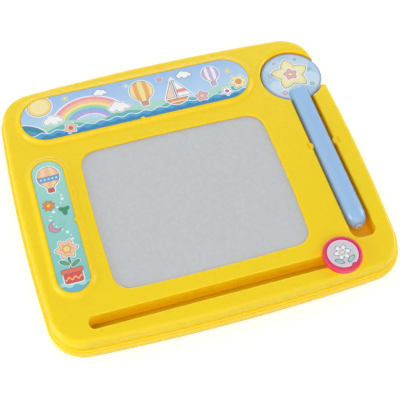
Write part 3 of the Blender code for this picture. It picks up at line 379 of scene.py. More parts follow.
def lower_shell(material):
    """The tray under the frame: its rounded ledge, bosses, slide ribs and the underside."""
    lip, sweep, sweep_foot, chamfer = 0.001, 0.0009, 0.0022, 0.001
    levels = [(case_edge(0), 0)]
    levels += [(case_edge(inset), LEDGE - lip + rise) for inset, rise in quarter_round(lip, 7)]
    for rise, inwards in quarter_round(sweep, 6):
        levels.append((case_edge(sweep_foot - sweep + inwards), LEDGE + HAIR + rise))
    shell = layers("lower_shell", levels)
    bevel(shell, 0, 0.003, 8)
    tray = plate("tray", case_edge(FRAME_INSET - SHELL_PLAY), FLOOR, LEDGE + 2 * PAST)
    cut(tray, plate("tray_notch", notch_edge(-SHELL_PLAY), 0, LEDGE + 3 * PAST))
    cut(shell, tray)
    at_screws(join, shell, "boss")
    for near in RIB_NEAR_SIDES:
        rib = block(-0.1, RIB_END, near, near + RIB_WIDTH)
        join(shell, plate("slide_rib", rib, FLOOR / 2, RIB_TOP))
    wide, notch = notch_edge(chamfer - FRAME_INSET), notch_edge(-FRAME_INSET)
    levels = [(wide, -PAST), (wide, 0), (notch, chamfer), (notch, LEDGE + PAST)]
    cut(shell, layers("lower_notch", levels))
    recess = plate("underside_recess", case_edge(UNDERSIDE_BORDER), -PAST, UNDERSIDE_DEPTH)
    bevel(recess, UNDERSIDE_DEPTH, 0.0004, 3)
    cut(shell, recess)
    at_screws(cut, shell, "screw_well", "screw_hole")
    complete(shell, material, "case", ["back_cover"])


def raised_panel(name, sides):
    """A round-ended panel: a hollow sweep from the face, a leaning side and a rounded rim."""
    levels = [(capsule(sides, PANEL_OUT[0] / 1000), FACE - 0.0008)]
    for grow, rise in zip(PANEL_OUT, PANEL_UP):
        levels.append((capsule(sides, grow / 1000), FACE + HAIR + rise / 1000))
    return layers(name, levels)


def tab_place(sides):
    """The half-round tab in the middle of a label's long side."""
    left, right, near, far = sides
    x, y = centre(sides)
    return (x, near + PANEL_RIM) if right - left > far - near else (right - PANEL_RIM, y)


def pocket_edge(sides):
    return lambda grow: capsule(sides, grow - PANEL_RIM)


def label_pocket(outline_of, bed, top, tab=None):
    """A cutter for the pocket that a label lies in, with its half-round tab left standing."""
    pocket = lipped("pocket", outline_of, bed, POCKET_LIP, top, steps=3)
    if tab:
        cut(pocket, rod("tab", *tab, TAB_RADIUS, bed - PAST, top + 3 * PAST))
    return pocket


def label(name, outline_of, bed, tab=None):
    """The thin printed sheet that lies in such a pocket, with a gap for the tab."""
    foot = bed + LABEL_LIFT
    sheet = plate(name, outline_of(-LABEL_PLAY), foot, foot + LABEL_THICKNESS)
    if tab:
        cut(sheet, rod("gap", *tab, TAB_RADIUS + LABEL_PLAY, foot - PAST, foot + PAST))
    return sheet


def frame_hollow():
    """The inside of the frame, with the pans, fence, walls and posts in it left out."""
    slope, inside = SHOULDER - FRAME_INSET, case_edge(CAVITY_INSET)
    levels = [(inside, 0), (inside, UNDER_FACE - slope)]
    levels.append((case_edge(CAVITY_INSET + slope), UNDER_FACE))
    hollow = layers("frame_hollow", levels)
    left_out = (
        ("groove_pan", groove_edge(PAN_WALL), GROOVE_BED - PAN_WALL),
        ("recess_pan", recess_edge(PAN_WALL), RECESS_BED - PAN_WALL),
        ("slot_skirt", slot_edge(SKIRT_WALL), SLOT_FOOT),
        ("notch_wall", notch_edge(NOTCH_WALL), -PAST),
    )
    for name, outline, low in left_out:
        cut(hollow, plate(name, outline, low, HOLLOW_TOP))
    fence = plate("screen_fence", window_edge(FENCE_OUTSIDE), FENCE_FOOT, HOLLOW_TOP)
    inside = window_edge(FENCE_INSIDE)
    cut(fence, plate("fence_inside", inside, FENCE_FOOT - PAST, HOLLOW_TOP + PAST))
    cut(hollow, fence)
    at_screws(cut, hollow, "screw_post")
    at_screws(cut, hollow, "rail_post")
    return hollow


def pen_catch(side):
    """A small rounded catch on the groove's wall that the pen is pressed past."""
    wall, top = PEN_X + side * GROOVE_HALF, FACE - 0.0002
    root = wall + side * CATCH_ROOT
    outline = [(root, CATCH_Y - CATCH_HALF)]
    for i in range(17):
        turn = pi * (i / 16 - 0.5)
        x = wall - side * CATCH_REACH * cos(turn)
        outline.append((x, CATCH_Y + CATCH_HALF * sin(turn)))
    outline.append((root, CATCH_Y + CATCH_HALF))
    return bevel(plate("catch", outline, FACE - 0.0026, top), top, 0.0006, 5)


def catch_dimple(side):
    """The shallow dimple in the face behind a catch."""
    x, half_wide, half_long, bed = PEN_X + side * 0.01105, 0.00075, 0.0026, FACE - 0.0009
    sides = (x - half_wide, x + half_wide, CATCH_Y - half_long, CATCH_Y + half_long)
    dimple = plate("dimple", capsule(sides, steps=6), bed, FACE + PAST)
    return bevel(dimple, bed, 0.0004, 3)


def upper_frame(material):
    """The face with its raised panels, window, groove, recess, notch, slot and pockets."""
    shell = plate("upper_frame", case_edge(FRAME_INSET), FRAME_FOOT, FACE)
    bevel(shell, FACE, SHOULDER, 12)
    for name, sides in (("top_panel", TOP_PANEL), ("side_panel", SIDE_PANEL)):
        join(shell, raised_panel(name, sides))
    cut(shell, frame_hollow())
    cut(shell, lipped("window", window_edge, low=FENCE_FOOT - PAST, lip=0.0012))
    cut(shell, lipped("groove", groove_edge, GROOVE_BED, lip=0.0011, foot=0.002))
    cut(shell, lipped("recess", recess_edge, RECESS_BED, lip=0.0025, foot=0.0008, steps=12))
    cut(shell, lipped("notch", notch_edge, low=0, lip=0.001))
    blunt = [(0.112, 0.05), (0.1163, 0.05), (0.12, 0.0492), (0.12, 0.054)]
    blunt.append((0.112, 0.054))
    cut(shell, plate("horn_end", blunt, RECESS_BED, FACE + 2 * PAST))
    cut(shell, lipped("slot", slot_edge, SLOT_FOOT - PAST, lip=0.0012, steps=10))
    for sides in (TOP_PANEL, SIDE_PANEL):
        pocket = label_pocket(pocket_edge(sides), POCKET_BED, PANEL_TOP, tab_place(sides))
        cut(shell, pocket)
        cut(shell, plate("panel_hollow", capsule(sides, -PANEL_WALL), *PANEL_HOLLOW))
    at_screws(cut, shell, "post_bore")
    at_screws(cut, shell, "rail_bore")
    for side in (-1, 1):
        join(shell, pen_catch(side))
        cut(shell, catch_dimple(side))
    complete(shell, material, "case", ["front_frame"])


def case_screw(material):
    """One screw, driven up from below, copied to the other seven places."""
    x, y = SCREW_PLACES[0]
    low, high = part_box(CASE_SCREWS[0])
    head, shank, point, taper, seat = 0.0028, 0.0012, 0.0004, 0.0012, low.z + 0.0016
    profile = [(head, low.z), (head, seat), (shank, seat), (shank, high.z - taper), (point, high.z)]
    screw = layers("case_screw", [(circle(x, y, radius, 48), z) for radius, z in profile])
    bevel(screw, low.z, 0.0007, 6)
    arm, half, deep = 0.0015, 0.0003, 0.0011
    corners = ((half, arm), (half, half), (arm, half), (arm, -half), (half, -half), (half, -arm))
    cross = [(x + side * a, y + side * b) for side in (1, -1) for a, b in corners]
    narrow = [((x + a) / 2, (y + b) / 2) for a, b in cross]
    levels = [(cross, low.z - PAST), (cross, low.z), (narrow, low.z + deep)]
    cut(screw, layers("drive", levels))
    complete(screw, material, "case", [CASE_SCREWS[0]])
    for node, (there_x, there_y) in zip(CASE_SCREWS[1:], SCREW_PLACES[1:]):
        edit(screw)
        shift = (there_x - x, there_y - y, 0)
        bpy.ops.object.duplicate_move(TRANSFORM_OT_translate={"value": shift})
        copy = bpy.context.object
        copy.name = copy.data.name = node.replace("case_screw", "driven_screw")
        bpy.ops.object.transform_apply(location=True, rotation=False, scale=False)
        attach(copy, "case")
        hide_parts(node)


def knob_edge(grow):
    return circle(KNOB_X, SLOT_Y, KNOB_POCKET + grow, 128)


def knob(material, label_material):
    """The round knob in the slot, with its stem, its bore and the label in its top."""
    body = rod("slider_knob", KNOB_X, SLOT_Y, KNOB_RADIUS, KNOB_FOOT, KNOB_TOP, 128)
    bevel(body, KNOB_TOP, 0.0012, 8)
    bevel(body, KNOB_FOOT, 0.0006, 4)
    join(body, plate("stem", capsule(STEM), SLOT_FOOT, KNOB_FOOT + PAST))
    tab = around((KNOB_X, SLOT_Y), KNOB_POCKET, radians(-65))
    cut(body, label_pocket(knob_edge, KNOB_BED, KNOB_TOP, tab))
    cut(body, rod("knob_bore", KNOB_X, SLOT_Y, 0.0012, 0.0045, 0.0126, 24))
    complete(body, material, "eraser", ["eraser_knob"])
    sheet = label("knob_print", knob_edge, KNOB_BED, tab)
    complete(sheet, label_material, "eraser", ["knob_label"])


def case_label(name, sides, material, node):
    sheet = label(name, pocket_edge(sides), POCKET_BED, tab_place(sides))
    complete(sheet, material, "case", [node])


def pen_ring(y, z, radius, steps=72):
    """A circle round the pen's length."""
    return [(x, y, height) for x, height in circle(PEN_X, z, radius, steps)]


def pen_core(name, profile):
    """A round piece on the axis of the pen's tip, through (y, radius) places."""
    axis = STICK_AXIS - TIP_DROP
    return stack(name, [pen_ring(y, axis, radius, 48) for y, radius in profile])


def pen_stick(name, shrink=0.0):
    """The round stick, blunt at the tip and rounded at the far end, or the hollow inside it."""
    full, tip, taper = STICK_RADIUS - shrink, 0.0029 - shrink / 2, 0.0085 - shrink
    rings, round_end = [], 0.0045 - shrink
    for along, rise in quarter_round(1, 18):
        y, drop = STICK_NEAR + shrink + taper * along, TIP_DROP * (1 - rise)
        rings.append(pen_ring(y, STICK_AXIS - drop, tip + (full - tip) * rise))
    for inset, rise in quarter_round(round_end, 12):
        rings.append(pen_ring(STICK_FAR - shrink - round_end + rise, STICK_AXIS, full - inset))
    return stack(name, rings)


def disc_edge(grow):
    return circle(PEN_X, DISC_Y, DISC_POCKET + grow, 144)


def pen_half(name, low, high, material, node):
    """One half of the pen's body, split through the edge of its round head."""
    body = rod(name, PEN_X, DISC_Y, DISC_RADIUS, DISC_FOOT, DISC_TOP, 144)
    bevel(body, DISC_TOP, 0.0005, 6)
    bevel(body, DISC_FOOT, 0.001, 6)
    cut(body, label_pocket(disc_edge, DISC_BED, DISC_TOP))
    join(body, pen_stick("stick"))
    cut(body, pen_stick("stick_hollow", STICK_WALL))
    inside = circle(PEN_X, DISC_Y, DISC_HOLLOW, 96)
    cut(body, plate("head_hollow", inside, DISC_FOOT + DISC_WALL, DISC_TOP - DISC_WALL))
    bore = [(STICK_NEAR - PAST, TIP_BORE), (STICK_NEAR + 0.011, TIP_BORE)]
    cut(body, pen_core("tip_bore", bore))
    combine(body, plate("half", block(-0.2, 0.2, -0.2, 0.2), low, high), "INTERSECT")
    complete(body, material, "pen", [node])


def pen(material, label_material, nib_material, magnet_material):
    """The two halves of the pen, its nib and tip magnet, and the label on its head."""
    pen_half("pen_upper", PEN_PARTING + PARTING_GAP, 0.04, material, "pen_front_shell")
    pen_half("pen_lower", 0, PEN_PARTING - PARTING_GAP, material, "pen_back_shell")
    mouth, front = STICK_NEAR - 0.0003, STICK_NEAR - 0.0008
    collar = [(front, 0.0022), (front + 0.0001, 0.0024), (front + 0.0002, 0.0025)]
    collar += [(mouth, 0.0025), (mouth, 0.0019), (STICK_NEAR + 0.0107, 0.0019)]
    nib = pen_core("nib", collar)
    cut(nib, pen_core("nib_bore", [(front - PAST, 0.0014), (front + 0.0083, 0.0014)]))
    complete(nib, nib_material, "pen", ["pen_nib"])
    ends = [(front, 0.0009), (front + 0.0002, 0.0011), (front + 0.008, 0.0011)]
    complete(pen_core("tip_magnet", ends), magnet_material, "pen", ["pen_magnet"])
    beside = STICK_RADIUS + LABEL_PLAY
    sides = (PEN_X - beside, PEN_X + beside, STICK_NEAR, STICK_FAR + LABEL_PLAY)
    stick_gap = capsule(sides, corner=0.0048)
    sheet = label("head_print", disc_edge, DISC_BED)
    cut(sheet, plate("stick_gap", stick_gap, DISC_BED - PAST, DISC_TOP + PAST))
    complete(sheet, label_material, "pen", ["pen_head_label"])


# Finishes

ROOT_3, CELL = 3**0.5, 0.0021
PAINTED_SHADE_ORANGE, PAINTED_GLOW_ORANGE = (1.2, 0.46, 0.0, 1), (1.0, 0.56, 0.0, 1)
# Between which openness, heights and places the frame gets its painted orange shade and glow
ROOM_AROUND = 0.009
HIDDEN, HALF_HIDDEN = (0.3, 0.9), (0.55, 1.0)
LOW, PANEL_FOOT = (0.016, 0.0179), (0.01802, 0.01815)
SLOT_BAND, SLOT_END, SLOT_RAISE = (-0.0825, -0.0795), (-0.0905, -0.08), 0.007


def shade(red, green, blue):
    """A printed colour, 0 to 255, as the light it gives back."""
    return tuple(((value / 255 + 0.055) / 1.055) ** 2.4 for value in (red, green, blue)) + (1,)


class Nodes:
    """Nodes in the tree of a material or of the sky."""

    def __init__(self, owner):
        owner.use_nodes = True
        self.tree = owner.node_tree

    def feed(self, node, values):
        """Sets a node's inputs, each to a constant or another node's output."""
        for key, value in values.items():
            if isinstance(value, bpy.types.NodeSocket):
                self.tree.links.new(value, node.inputs[key])
            else:
                node.inputs[key].default_value = value
        return node

    def add(self, kind, values, **settings):
        node = self.tree.nodes.new("ShaderNode" + kind)
        for setting, value in settings.items():
            setattr(node, setting, value)
        return self.feed(node, values)

    def spread(self, value, low, high, from_low=0.3, from_high=0.7):
        """Carries a value from one range to another."""
        ends = {"From Min": from_low, "From Max": from_high, "To Min": low, "To Max": high}
        return self.add("MapRange", {"Value": value, **ends}).outputs["Result"]

    def mix(self, share, first, second):
        return self.add("Mix", {0: share, 6: first, 7: second}, data_type="RGBA").outputs[2]

    def calc(self, operation, first, second=0.0, third=0.0):
        values = {0: first, 1: second, 2: third}
        return self.add("Math", values, operation=operation).outputs[0]

    def vector(self, operation, first, second=(0, 0, 0)):
        node = self.add("VectorMath", {0: first, 1: second}, operation=operation)
        number = operation in ("LENGTH", "DISTANCE", "DOT_PRODUCT")
        return node.outputs["Value" if number else "Vector"]

    def times(self, first, second):
        return self.calc("MULTIPLY", first, second)

    def seen(self):
        """1 for a ray from the camera, straight, mirrored or through something."""
        rays = self.add("LightPath", {}).outputs
        seen = self.calc("MAXIMUM", rays["Is Camera Ray"], rays["Is Glossy Ray"])
        return self.calc("MAXIMUM", seen, rays["Is Transmission Ray"])


class Finish(Nodes):
    """A material put together node by node, on the piece's own coordinates."""

    def __init__(self, name):
        self.material = bpy.data.materials.new(name)
        super().__init__(self.material)
        self.place = self.add("TexCoord", {}).outputs["Object"]

    def noise(self, size, detail, place=None):
        values = {"Vector": place or self.place, "Scale": 1 / size, "Detail": detail}
        return self.add("TexNoise", values).outputs["Fac"]

    def split(self, place):
        return self.add("SeparateXYZ", {0: place}).outputs

    def bump(self, height, depth):
        return self.add("Bump", {"Height": height, "Distance": depth}).outputs["Normal"]

    def surface(self, colour, roughness, **others):
        """Ends the finish. The words in the other values' names are the shader's own."""
        names = {name.replace("_", " "): value for name, value in others.items()}
        values = {"Base Color": colour, "Roughness": roughness, **names}
        self.feed(self.tree.nodes["Principled BSDF"], values)
        return self.material


def frame_painted_shade_and_glow(finish, tone):
    """Paints shade: the yellow turns orange in the recesses and at the foot of the panels.

    The second value is a painted glow: emission in place of light through the slot's thin wall.
    """
    room = finish.add("AmbientOcclusion", {"Distance": ROOM_AROUND}, samples=16).outputs["AO"]
    place = finish.split(finish.place)
    in_slot = finish.spread(place["Y"], 1, 0, *SLOT_BAND)
    hidden = finish.spread(room, 1, 0, *HIDDEN)
    height = finish.calc("MULTIPLY_ADD", in_slot, SLOT_RAISE, place["Z"])
    low = finish.times(hidden, finish.spread(height, 1, 0, *LOW))
    foot = finish.spread(place["Z"], 0, 0.5, *PANEL_FOOT)
    foot = finish.times(foot, finish.spread(room, 1, 0, *HALF_HIDDEN))
    # A painted glow: emission in the slot, fainter at its left end, and faintly in all low
    # recesses.
    through = finish.times(in_slot, finish.spread(place["X"], 0.06, 0.32, *SLOT_END))
    through = finish.times(through, hidden)
    through = finish.calc("MULTIPLY_ADD", low, 0.05, through)
    return finish.mix(finish.calc("MAXIMUM", low, foot), tone, PAINTED_SHADE_ORANGE), through


def moulded(name, colour, deeper, rough, grain=1.5e-6, glow=0, cloud=0.06, shine=0.5, painted_shade_and_glow=None):
    """Moulded plastic: colour that drifts a little, gloss that varies, and a faint skin."""
    finish = Finish(name)
    drift = finish.spread(finish.noise(cloud, 3), 0, 1)
    speck = finish.spread(finish.noise(0.0011, 2), 0, 0.2)
    share = finish.times(finish.calc("ADD", drift, speck), 0.8)
    tone, others = finish.mix(share, colour, deeper), {"Specular_IOR_Level": shine}
    # Painted shade and glow: orange colour in the recesses and orange emission in the slot.
    if painted_shade_and_glow:
        tone, others["Emission_Strength"] = painted_shade_and_glow(finish, tone)
        others["Emission_Color"] = PAINTED_GLOW_ORANGE
    if glow:
        others |= {"Subsurface_Weight": glow, "Subsurface_Scale": 0.002}
        others["Subsurface_Radius"] = (1.0, 0.55, 0.08)
    skin = finish.bump(finish.noise(0.0007, 3), grain)
    gloss = finish.spread(finish.noise(0.012, 4), rough - 0.04, rough + 0.05)
    return finish.surface(tone, gloss, Normal=skin, **others)


def steel(name, colour, rough):
    """Plated metal, finely scratched, with worn and dull patches."""
    finish = Finish(name)
    wear = finish.spread(finish.noise(0.0016, 4), 0, 1)
    tone = finish.mix(wear, colour, darkened(colour, 0.72))
    stretched = finish.vector("MULTIPLY", finish.place, (1, 14, 1))
    gloss = finish.spread(finish.noise(0.0009, 3, stretched), rough - 0.1, rough + 0.12)
    skin = finish.bump(finish.noise(0.0004, 2, stretched), 0.000004)
    return finish.surface(tone, gloss, Metallic=1.0, Normal=skin)


def darkened(colour, share):
    return tuple(value * share for value in colour[:3]) + (1,)


def rubber(name):
    """Magnet strip: pressed powder, dull and speckled."""
    finish = Finish(name)
    grit = finish.spread(finish.noise(0.0005, 4), 0, 1)
    tone = finish.mix(grit, (0.03, 0.027, 0.024, 1), (0.075, 0.068, 0.06, 1))
    gloss = finish.spread(finish.noise(0.003, 2), 0.62, 0.8)
    return finish.surface(tone, gloss, Normal=finish.bump(grit, 0.00003))


def honeycomb(finish):
    """How near a point is to its six-sided cell's wall, 0 to 1, and a number for each cell."""
    flat = finish.vector("MULTIPLY", finish.place, (1 / CELL, 1 / CELL, 0))
    half = (0.5, ROOT_3 / 2, 0.5)
    wraps = []
    for start in (flat, finish.vector("SUBTRACT", flat, half)):
        ends = {0: start, 1: half, 2: tuple(-value for value in half)}
        wraps.append(finish.add("VectorMath", ends, operation="WRAP").outputs["Vector"])
    lengths = [finish.vector("LENGTH", wrap) for wrap in wraps]
    values = {0: finish.calc("LESS_THAN", *lengths), 4: wraps[1], 5: wraps[0]}
    nearest = finish.add("Mix", values, data_type="VECTOR").outputs[1]
    across = finish.vector("ABSOLUTE", nearest)
    slant = finish.vector("DOT_PRODUCT", across, (0.5, ROOT_3 / 2, 0))
    straight = finish.vector("DOT_PRODUCT", across, (1, 0, 0))
    wall = finish.times(finish.calc("MAXIMUM", slant, straight), 2)
    cell = finish.vector("ADD", finish.vector("SUBTRACT", flat, nearest), (0.01, 0.01, 0.01))
    return wall, finish.add("TexWhiteNoise", {"Vector": cell}).outputs["Value"]


def screen_sheet(name, rough, colour, cell_wall):
    """The drawing screen: cells of grey-white fluid under a smooth film."""
    finish = Finish(name)
    wall, number = honeycomb(finish)
    cloud = finish.spread(finish.noise(0.05, 2), 0, 1, 0.2, 0.8)
    fine = finish.spread(finish.noise(0.0006, 3), 0, 1, 0.2, 0.8)
    darker = darkened(colour, 0.9)
    lilac = (colour[0] * 0.97, colour[1] * 0.965, colour[2], 1)
    ground = finish.mix(finish.times(cloud, 0.6), colour, lilac)
    ground = finish.mix(finish.times(number, 0.9), ground, darker)
    ground = finish.mix(finish.times(fine, 0.6), ground, darker)
    edge = finish.spread(wall, 0, 1, 0.86, 0.97)
    tone = finish.mix(finish.times(edge, 0.35), ground, cell_wall)
    gloss = finish.spread(finish.noise(0.03, 2), rough - 0.02, rough + 0.02, 0.2, 0.8)
    skin = finish.bump(finish.times(edge, -1), 0.000012)
    return finish.surface(tone, gloss, Normal=skin)


# Printed labels. A shape is a number at each point: its distance outside the shape's edge, in
# millimetres. A colour is red, green and blue, 0 to 255.

WHITE, LINE = (250, 251, 252), (84, 116, 140)


class Picture(Finish):
    """A printed picture of plain shapes round its middle, the newest shape on top."""

    def __init__(self, name, middle, ground):
        super().__init__(name)
        moved = self.vector("SUBTRACT", self.place, (*middle, 0))
        self.spot = self.vector("MULTIPLY", moved, (1000, 1000, 0))
        spot = self.split(self.spot)
        self.x, self.y, self.colour = spot["X"], spot["Y"], shade(*ground)

    def fade(self, colour, low, high):
        """Lets the ground change to another colour from one height to the other."""
        self.colour = self.mix(self.spread(self.y, 0, 1, low, high), self.colour, shade(*colour))

    def seen_from(self, x, y, turn=0.0, wide=1.0, high=1.0):
        rotation = (0, 0, radians(turn))
        values = {"Vector": self.spot, "Location": (x, y, 0), "Rotation": rotation}
        values["Scale"] = (wide, high, 1)
        return self.add("Mapping", values, vector_type="TEXTURE").outputs["Vector"]

    def disc(self, x, y, radius):
        return self.calc("SUBTRACT", self.vector("DISTANCE", self.spot, (x, y, 0)), radius)

    def ring(self, x, y, radius, width):
        return self.calc("SUBTRACT", self.calc("ABSOLUTE", self.disc(x, y, radius)), width / 2)

    def oval(self, x, y, wide, high, turn=0.0):
        small, away = min(wide, high), self.vector("LENGTH", self.seen_from(x, y, turn, wide, high))
        return self.calc("MULTIPLY_ADD", away, small, -small)

    def slab(self, x, y, half_wide, half_high, corner=0.4):
        across = self.vector("ABSOLUTE", self.seen_from(x, y))
        beyond = self.vector("SUBTRACT", across, (half_wide - corner, half_high - corner, 0))
        beyond = self.vector("MAXIMUM", beyond, (0, 0, 0))
        return self.calc("SUBTRACT", self.vector("LENGTH", beyond), corner)

    def polar(self, x, y, turn):
        near = self.seen_from(x, y, turn)
        parts = self.split(near)
        return self.calc("ARCTAN2", parts["Y"], parts["X"]), self.vector("LENGTH", near)

    def petals(self, x, y, radius, count, depth, turn=0.0):
        angle, away = self.polar(x, y, turn)
        swell = self.calc("COSINE", self.times(angle, count))
        reach = self.calc("MULTIPLY_ADD", swell, radius * depth, radius * (1 - depth))
        return self.times(self.calc("SUBTRACT", away, reach), 0.85)

    def star(self, x, y, radius, points, depth, turn=0.0):
        angle, away = self.polar(x, y, turn)
        fold = self.calc("PINGPONG", self.times(angle, points / pi), 1.0)
        reach = self.calc("MULTIPLY_ADD", fold, -radius * depth, radius)
        return self.times(self.calc("SUBTRACT", away, reach), 0.75)

    def wave(self, y, height, length, shift=0.0):
        """Everything below a waving line."""
        swell = self.calc("SINE", self.calc("MULTIPLY_ADD", self.x, 2 * pi / length, shift))
        return self.calc("SUBTRACT", self.y, self.calc("MULTIPLY_ADD", swell, height, y))

    def above(self, x, y, turn):
        """Everything above a line through (x, y)."""
        return self.times(self.split(self.seen_from(x, y, turn))["Y"], -1)

    def joined(self, *shapes, soft=0.0):
        joined = shapes[0]
        for shape in shapes[1:]:
            joined = self.calc("SMOOTH_MIN" if soft else "MINIMUM", joined, shape, soft)
        return joined

    def within(self, shape, *limits):
        for limit in limits:
            shape = self.calc("MAXIMUM", shape, limit)
        return shape

    def fill(self, shape, colour, grow=0.0, share=1.0):
        cover = self.spread(shape, 0, share, grow + 0.05, grow - 0.05)
        self.colour = self.mix(cover, self.colour, shade(*colour))

    def draw(self, shape, colour, line=0.36, halo=0.0):
        if halo:
            self.fill(shape, WHITE, halo)
        self.fill(shape, LINE, line / 2)
        self.fill(shape, colour, -line / 2)

    def printed(self):
        """Ends the picture: ink on glossy film, with a trace of grain."""
        inked = self.mix(self.spread(self.noise(0.0006, 2), 0, 0.05), self.colour, shade(*LINE))
        gloss = self.spread(self.noise(0.01, 3), 0.26, 0.36)
        return self.surface(inked, gloss, Normal=self.bump(self.noise(0.0012, 2), 0.000002))

    def cloud(self, x, y, size, halo):
        puffs = ((-1.0, 0, 0.62), (-0.25, 0.42, 0.8), (0.62, 0.25, 0.66), (1.25, -0.12, 0.46))
        puffs += ((0.2, -0.2, 0.7),)
        shapes = [self.disc(x + a * size, y + b * size, c * size) for a, b, c in puffs]
        self.draw(self.joined(*shapes, soft=0.5), WHITE, halo=halo)

    def balloon(self, x, y, wide, high, colour, stripe, basket):
        """A striped hot-air balloon with its basket."""
        foot = y - high - 3.4
        mouth = self.slab(x, y - high * 0.85, wide * 0.3, high * 0.32)
        envelope = self.joined(self.oval(x, y, wide, high), mouth, soft=3.0)
        crate = self.slab(x, foot, wide * 0.28, 1.5, 0.6)
        ends = (x - wide * 0.22, x + wide * 0.22)
        ropes = self.joined(*(self.slab(end, foot + 2.2, 0.18, 1.6, 0.15) for end in ends))
        self.fill(self.joined(envelope, crate, ropes), WHITE, 0.9)
        self.fill(ropes, LINE, 0.1)
        self.draw(envelope, colour)
        for share, tone in ((0.66, stripe), (0.26, colour)):
            band = self.within(self.oval(x, y, wide * share, high * 1.6), envelope)
            self.fill(band, tone, -0.18)
        self.draw(crate, basket)

    def flower(self, x, y, radius, colour, middle, count=5, turn=18.0):
        self.draw(self.petals(x, y, radius, count, 0.16, turn), colour, halo=0.8)
        self.draw(self.disc(x, y, radius * 0.34), middle, line=0.3)


def top_picture():
    """A wide summer sky over the sea, with a rainbow, balloons, a sailing boat and flowers."""
    art = Picture("top_print", centre(TOP_PANEL), (196, 224, 247))
    art.fade((158, 197, 240), -16, 18)
    art.draw(art.disc(-68, 11.5, 8.5), (250, 222, 132), halo=1.0)
    art.fill(art.disc(-68, 11.5, 6.4), (252, 236, 170))
    stripes = [(242, 160, 178), (250, 196, 156), (250, 232, 150), (168, 216, 182)]
    stripes += [(132, 188, 232), (188, 170, 222)]
    bands = [(31, WHITE), *((30 - 2.5 * i, stripe) for i, stripe in enumerate(stripes))]
    for radius, colour in (*bands, (15, WHITE), (14.2, (190, 221, 247))):
        art.fill(art.disc(-36, -19, radius), colour)
    art.fill(art.wave(-7.5, 2.6, 64, 1.1), (176, 222, 204))
    art.fill(art.wave(-10.4, 2.0, 41, 3.4), (104, 184, 186))
    art.draw(art.disc(-86, -23, 21), (50, 134, 166), halo=0.9)
    art.fill(art.disc(-86, -23, 17), (76, 158, 184))
    surf = art.wave(-12.6, 0.8, 10.5)
    art.fill(surf, WHITE, 0.35)
    art.fill(surf, (70, 166, 212), -0.3)
    art.fill(art.wave(-15.3, 0.7, 8.6, 1.3), (38, 132, 188))
    clouds = ((-61, -3.5, 4.2, 0.7), (-14, -4.5, 4.6, 0.7), (-24, 12.0, 3.0, 0), (38, 11.6, 3.4, 0))
    for cloud in clouds:
        art.cloud(*cloud)
    cream, pink, lilac = (246, 232, 160), (240, 166, 184), (200, 182, 226)
    art.balloon(5, 6.0, 8.4, 8.8, cream, (244, 176, 104), (226, 150, 120))
    art.balloon(57, 7.6, 6.0, 6.4, lilac, (246, 244, 250), pink)
    hull = art.within(art.disc(28, -4.5, 8.4), art.above(28, -8.0, 180))
    mast = art.slab(28, 0.5, 0.35, 9.4, 0.3)
    sail = art.within(art.above(29, -6.6, 0), art.above(29.2, 9.4, 121.5), art.above(29.2, 0, -90))
    jib = art.within(art.above(27, -6.6, 0), art.above(26.8, 8.2, -114.6), art.above(26.8, 0, 90))
    for shape in (hull, mast, sail, jib):
        art.fill(shape, WHITE, 1.0)
    art.fill(mast, LINE)
    art.draw(sail, WHITE)
    art.fill(art.within(sail, art.slab(29, -1.5, 9, 1.7)), (240, 150, 150), -0.2)
    art.draw(jib, (250, 214, 196))
    art.draw(hull, (240, 150, 92))
    art.fill(art.within(hull, art.slab(28, -10.6, 9, 0.7)), (250, 236, 214), -0.2)
    art.flower(74.5, -5.2, 6.4, (248, 236, 176), (242, 158, 92), 6, 0)
    art.flower(45.5, -10.6, 4.6, (240, 172, 190), (250, 232, 150))
    art.flower(64, -11.4, 3.8, WHITE, (226, 100, 96), 5, 50)
    art.flower(-50.5, -12.8, 4.4, (250, 204, 168), (224, 96, 92), 6, 10)
    stars = ((-49, 14.0, 2.2, cream), (20, 12.4, 2.4, pink), (-4.6, 13.2, 1.6, WHITE))
    for x, y, radius, colour in (*stars, (70, 6.6, 2.3, cream)):
        art.draw(art.star(x, y, radius, 5, 0.45, 90), colour, line=0.3, halo=0.5)
    return art.printed()


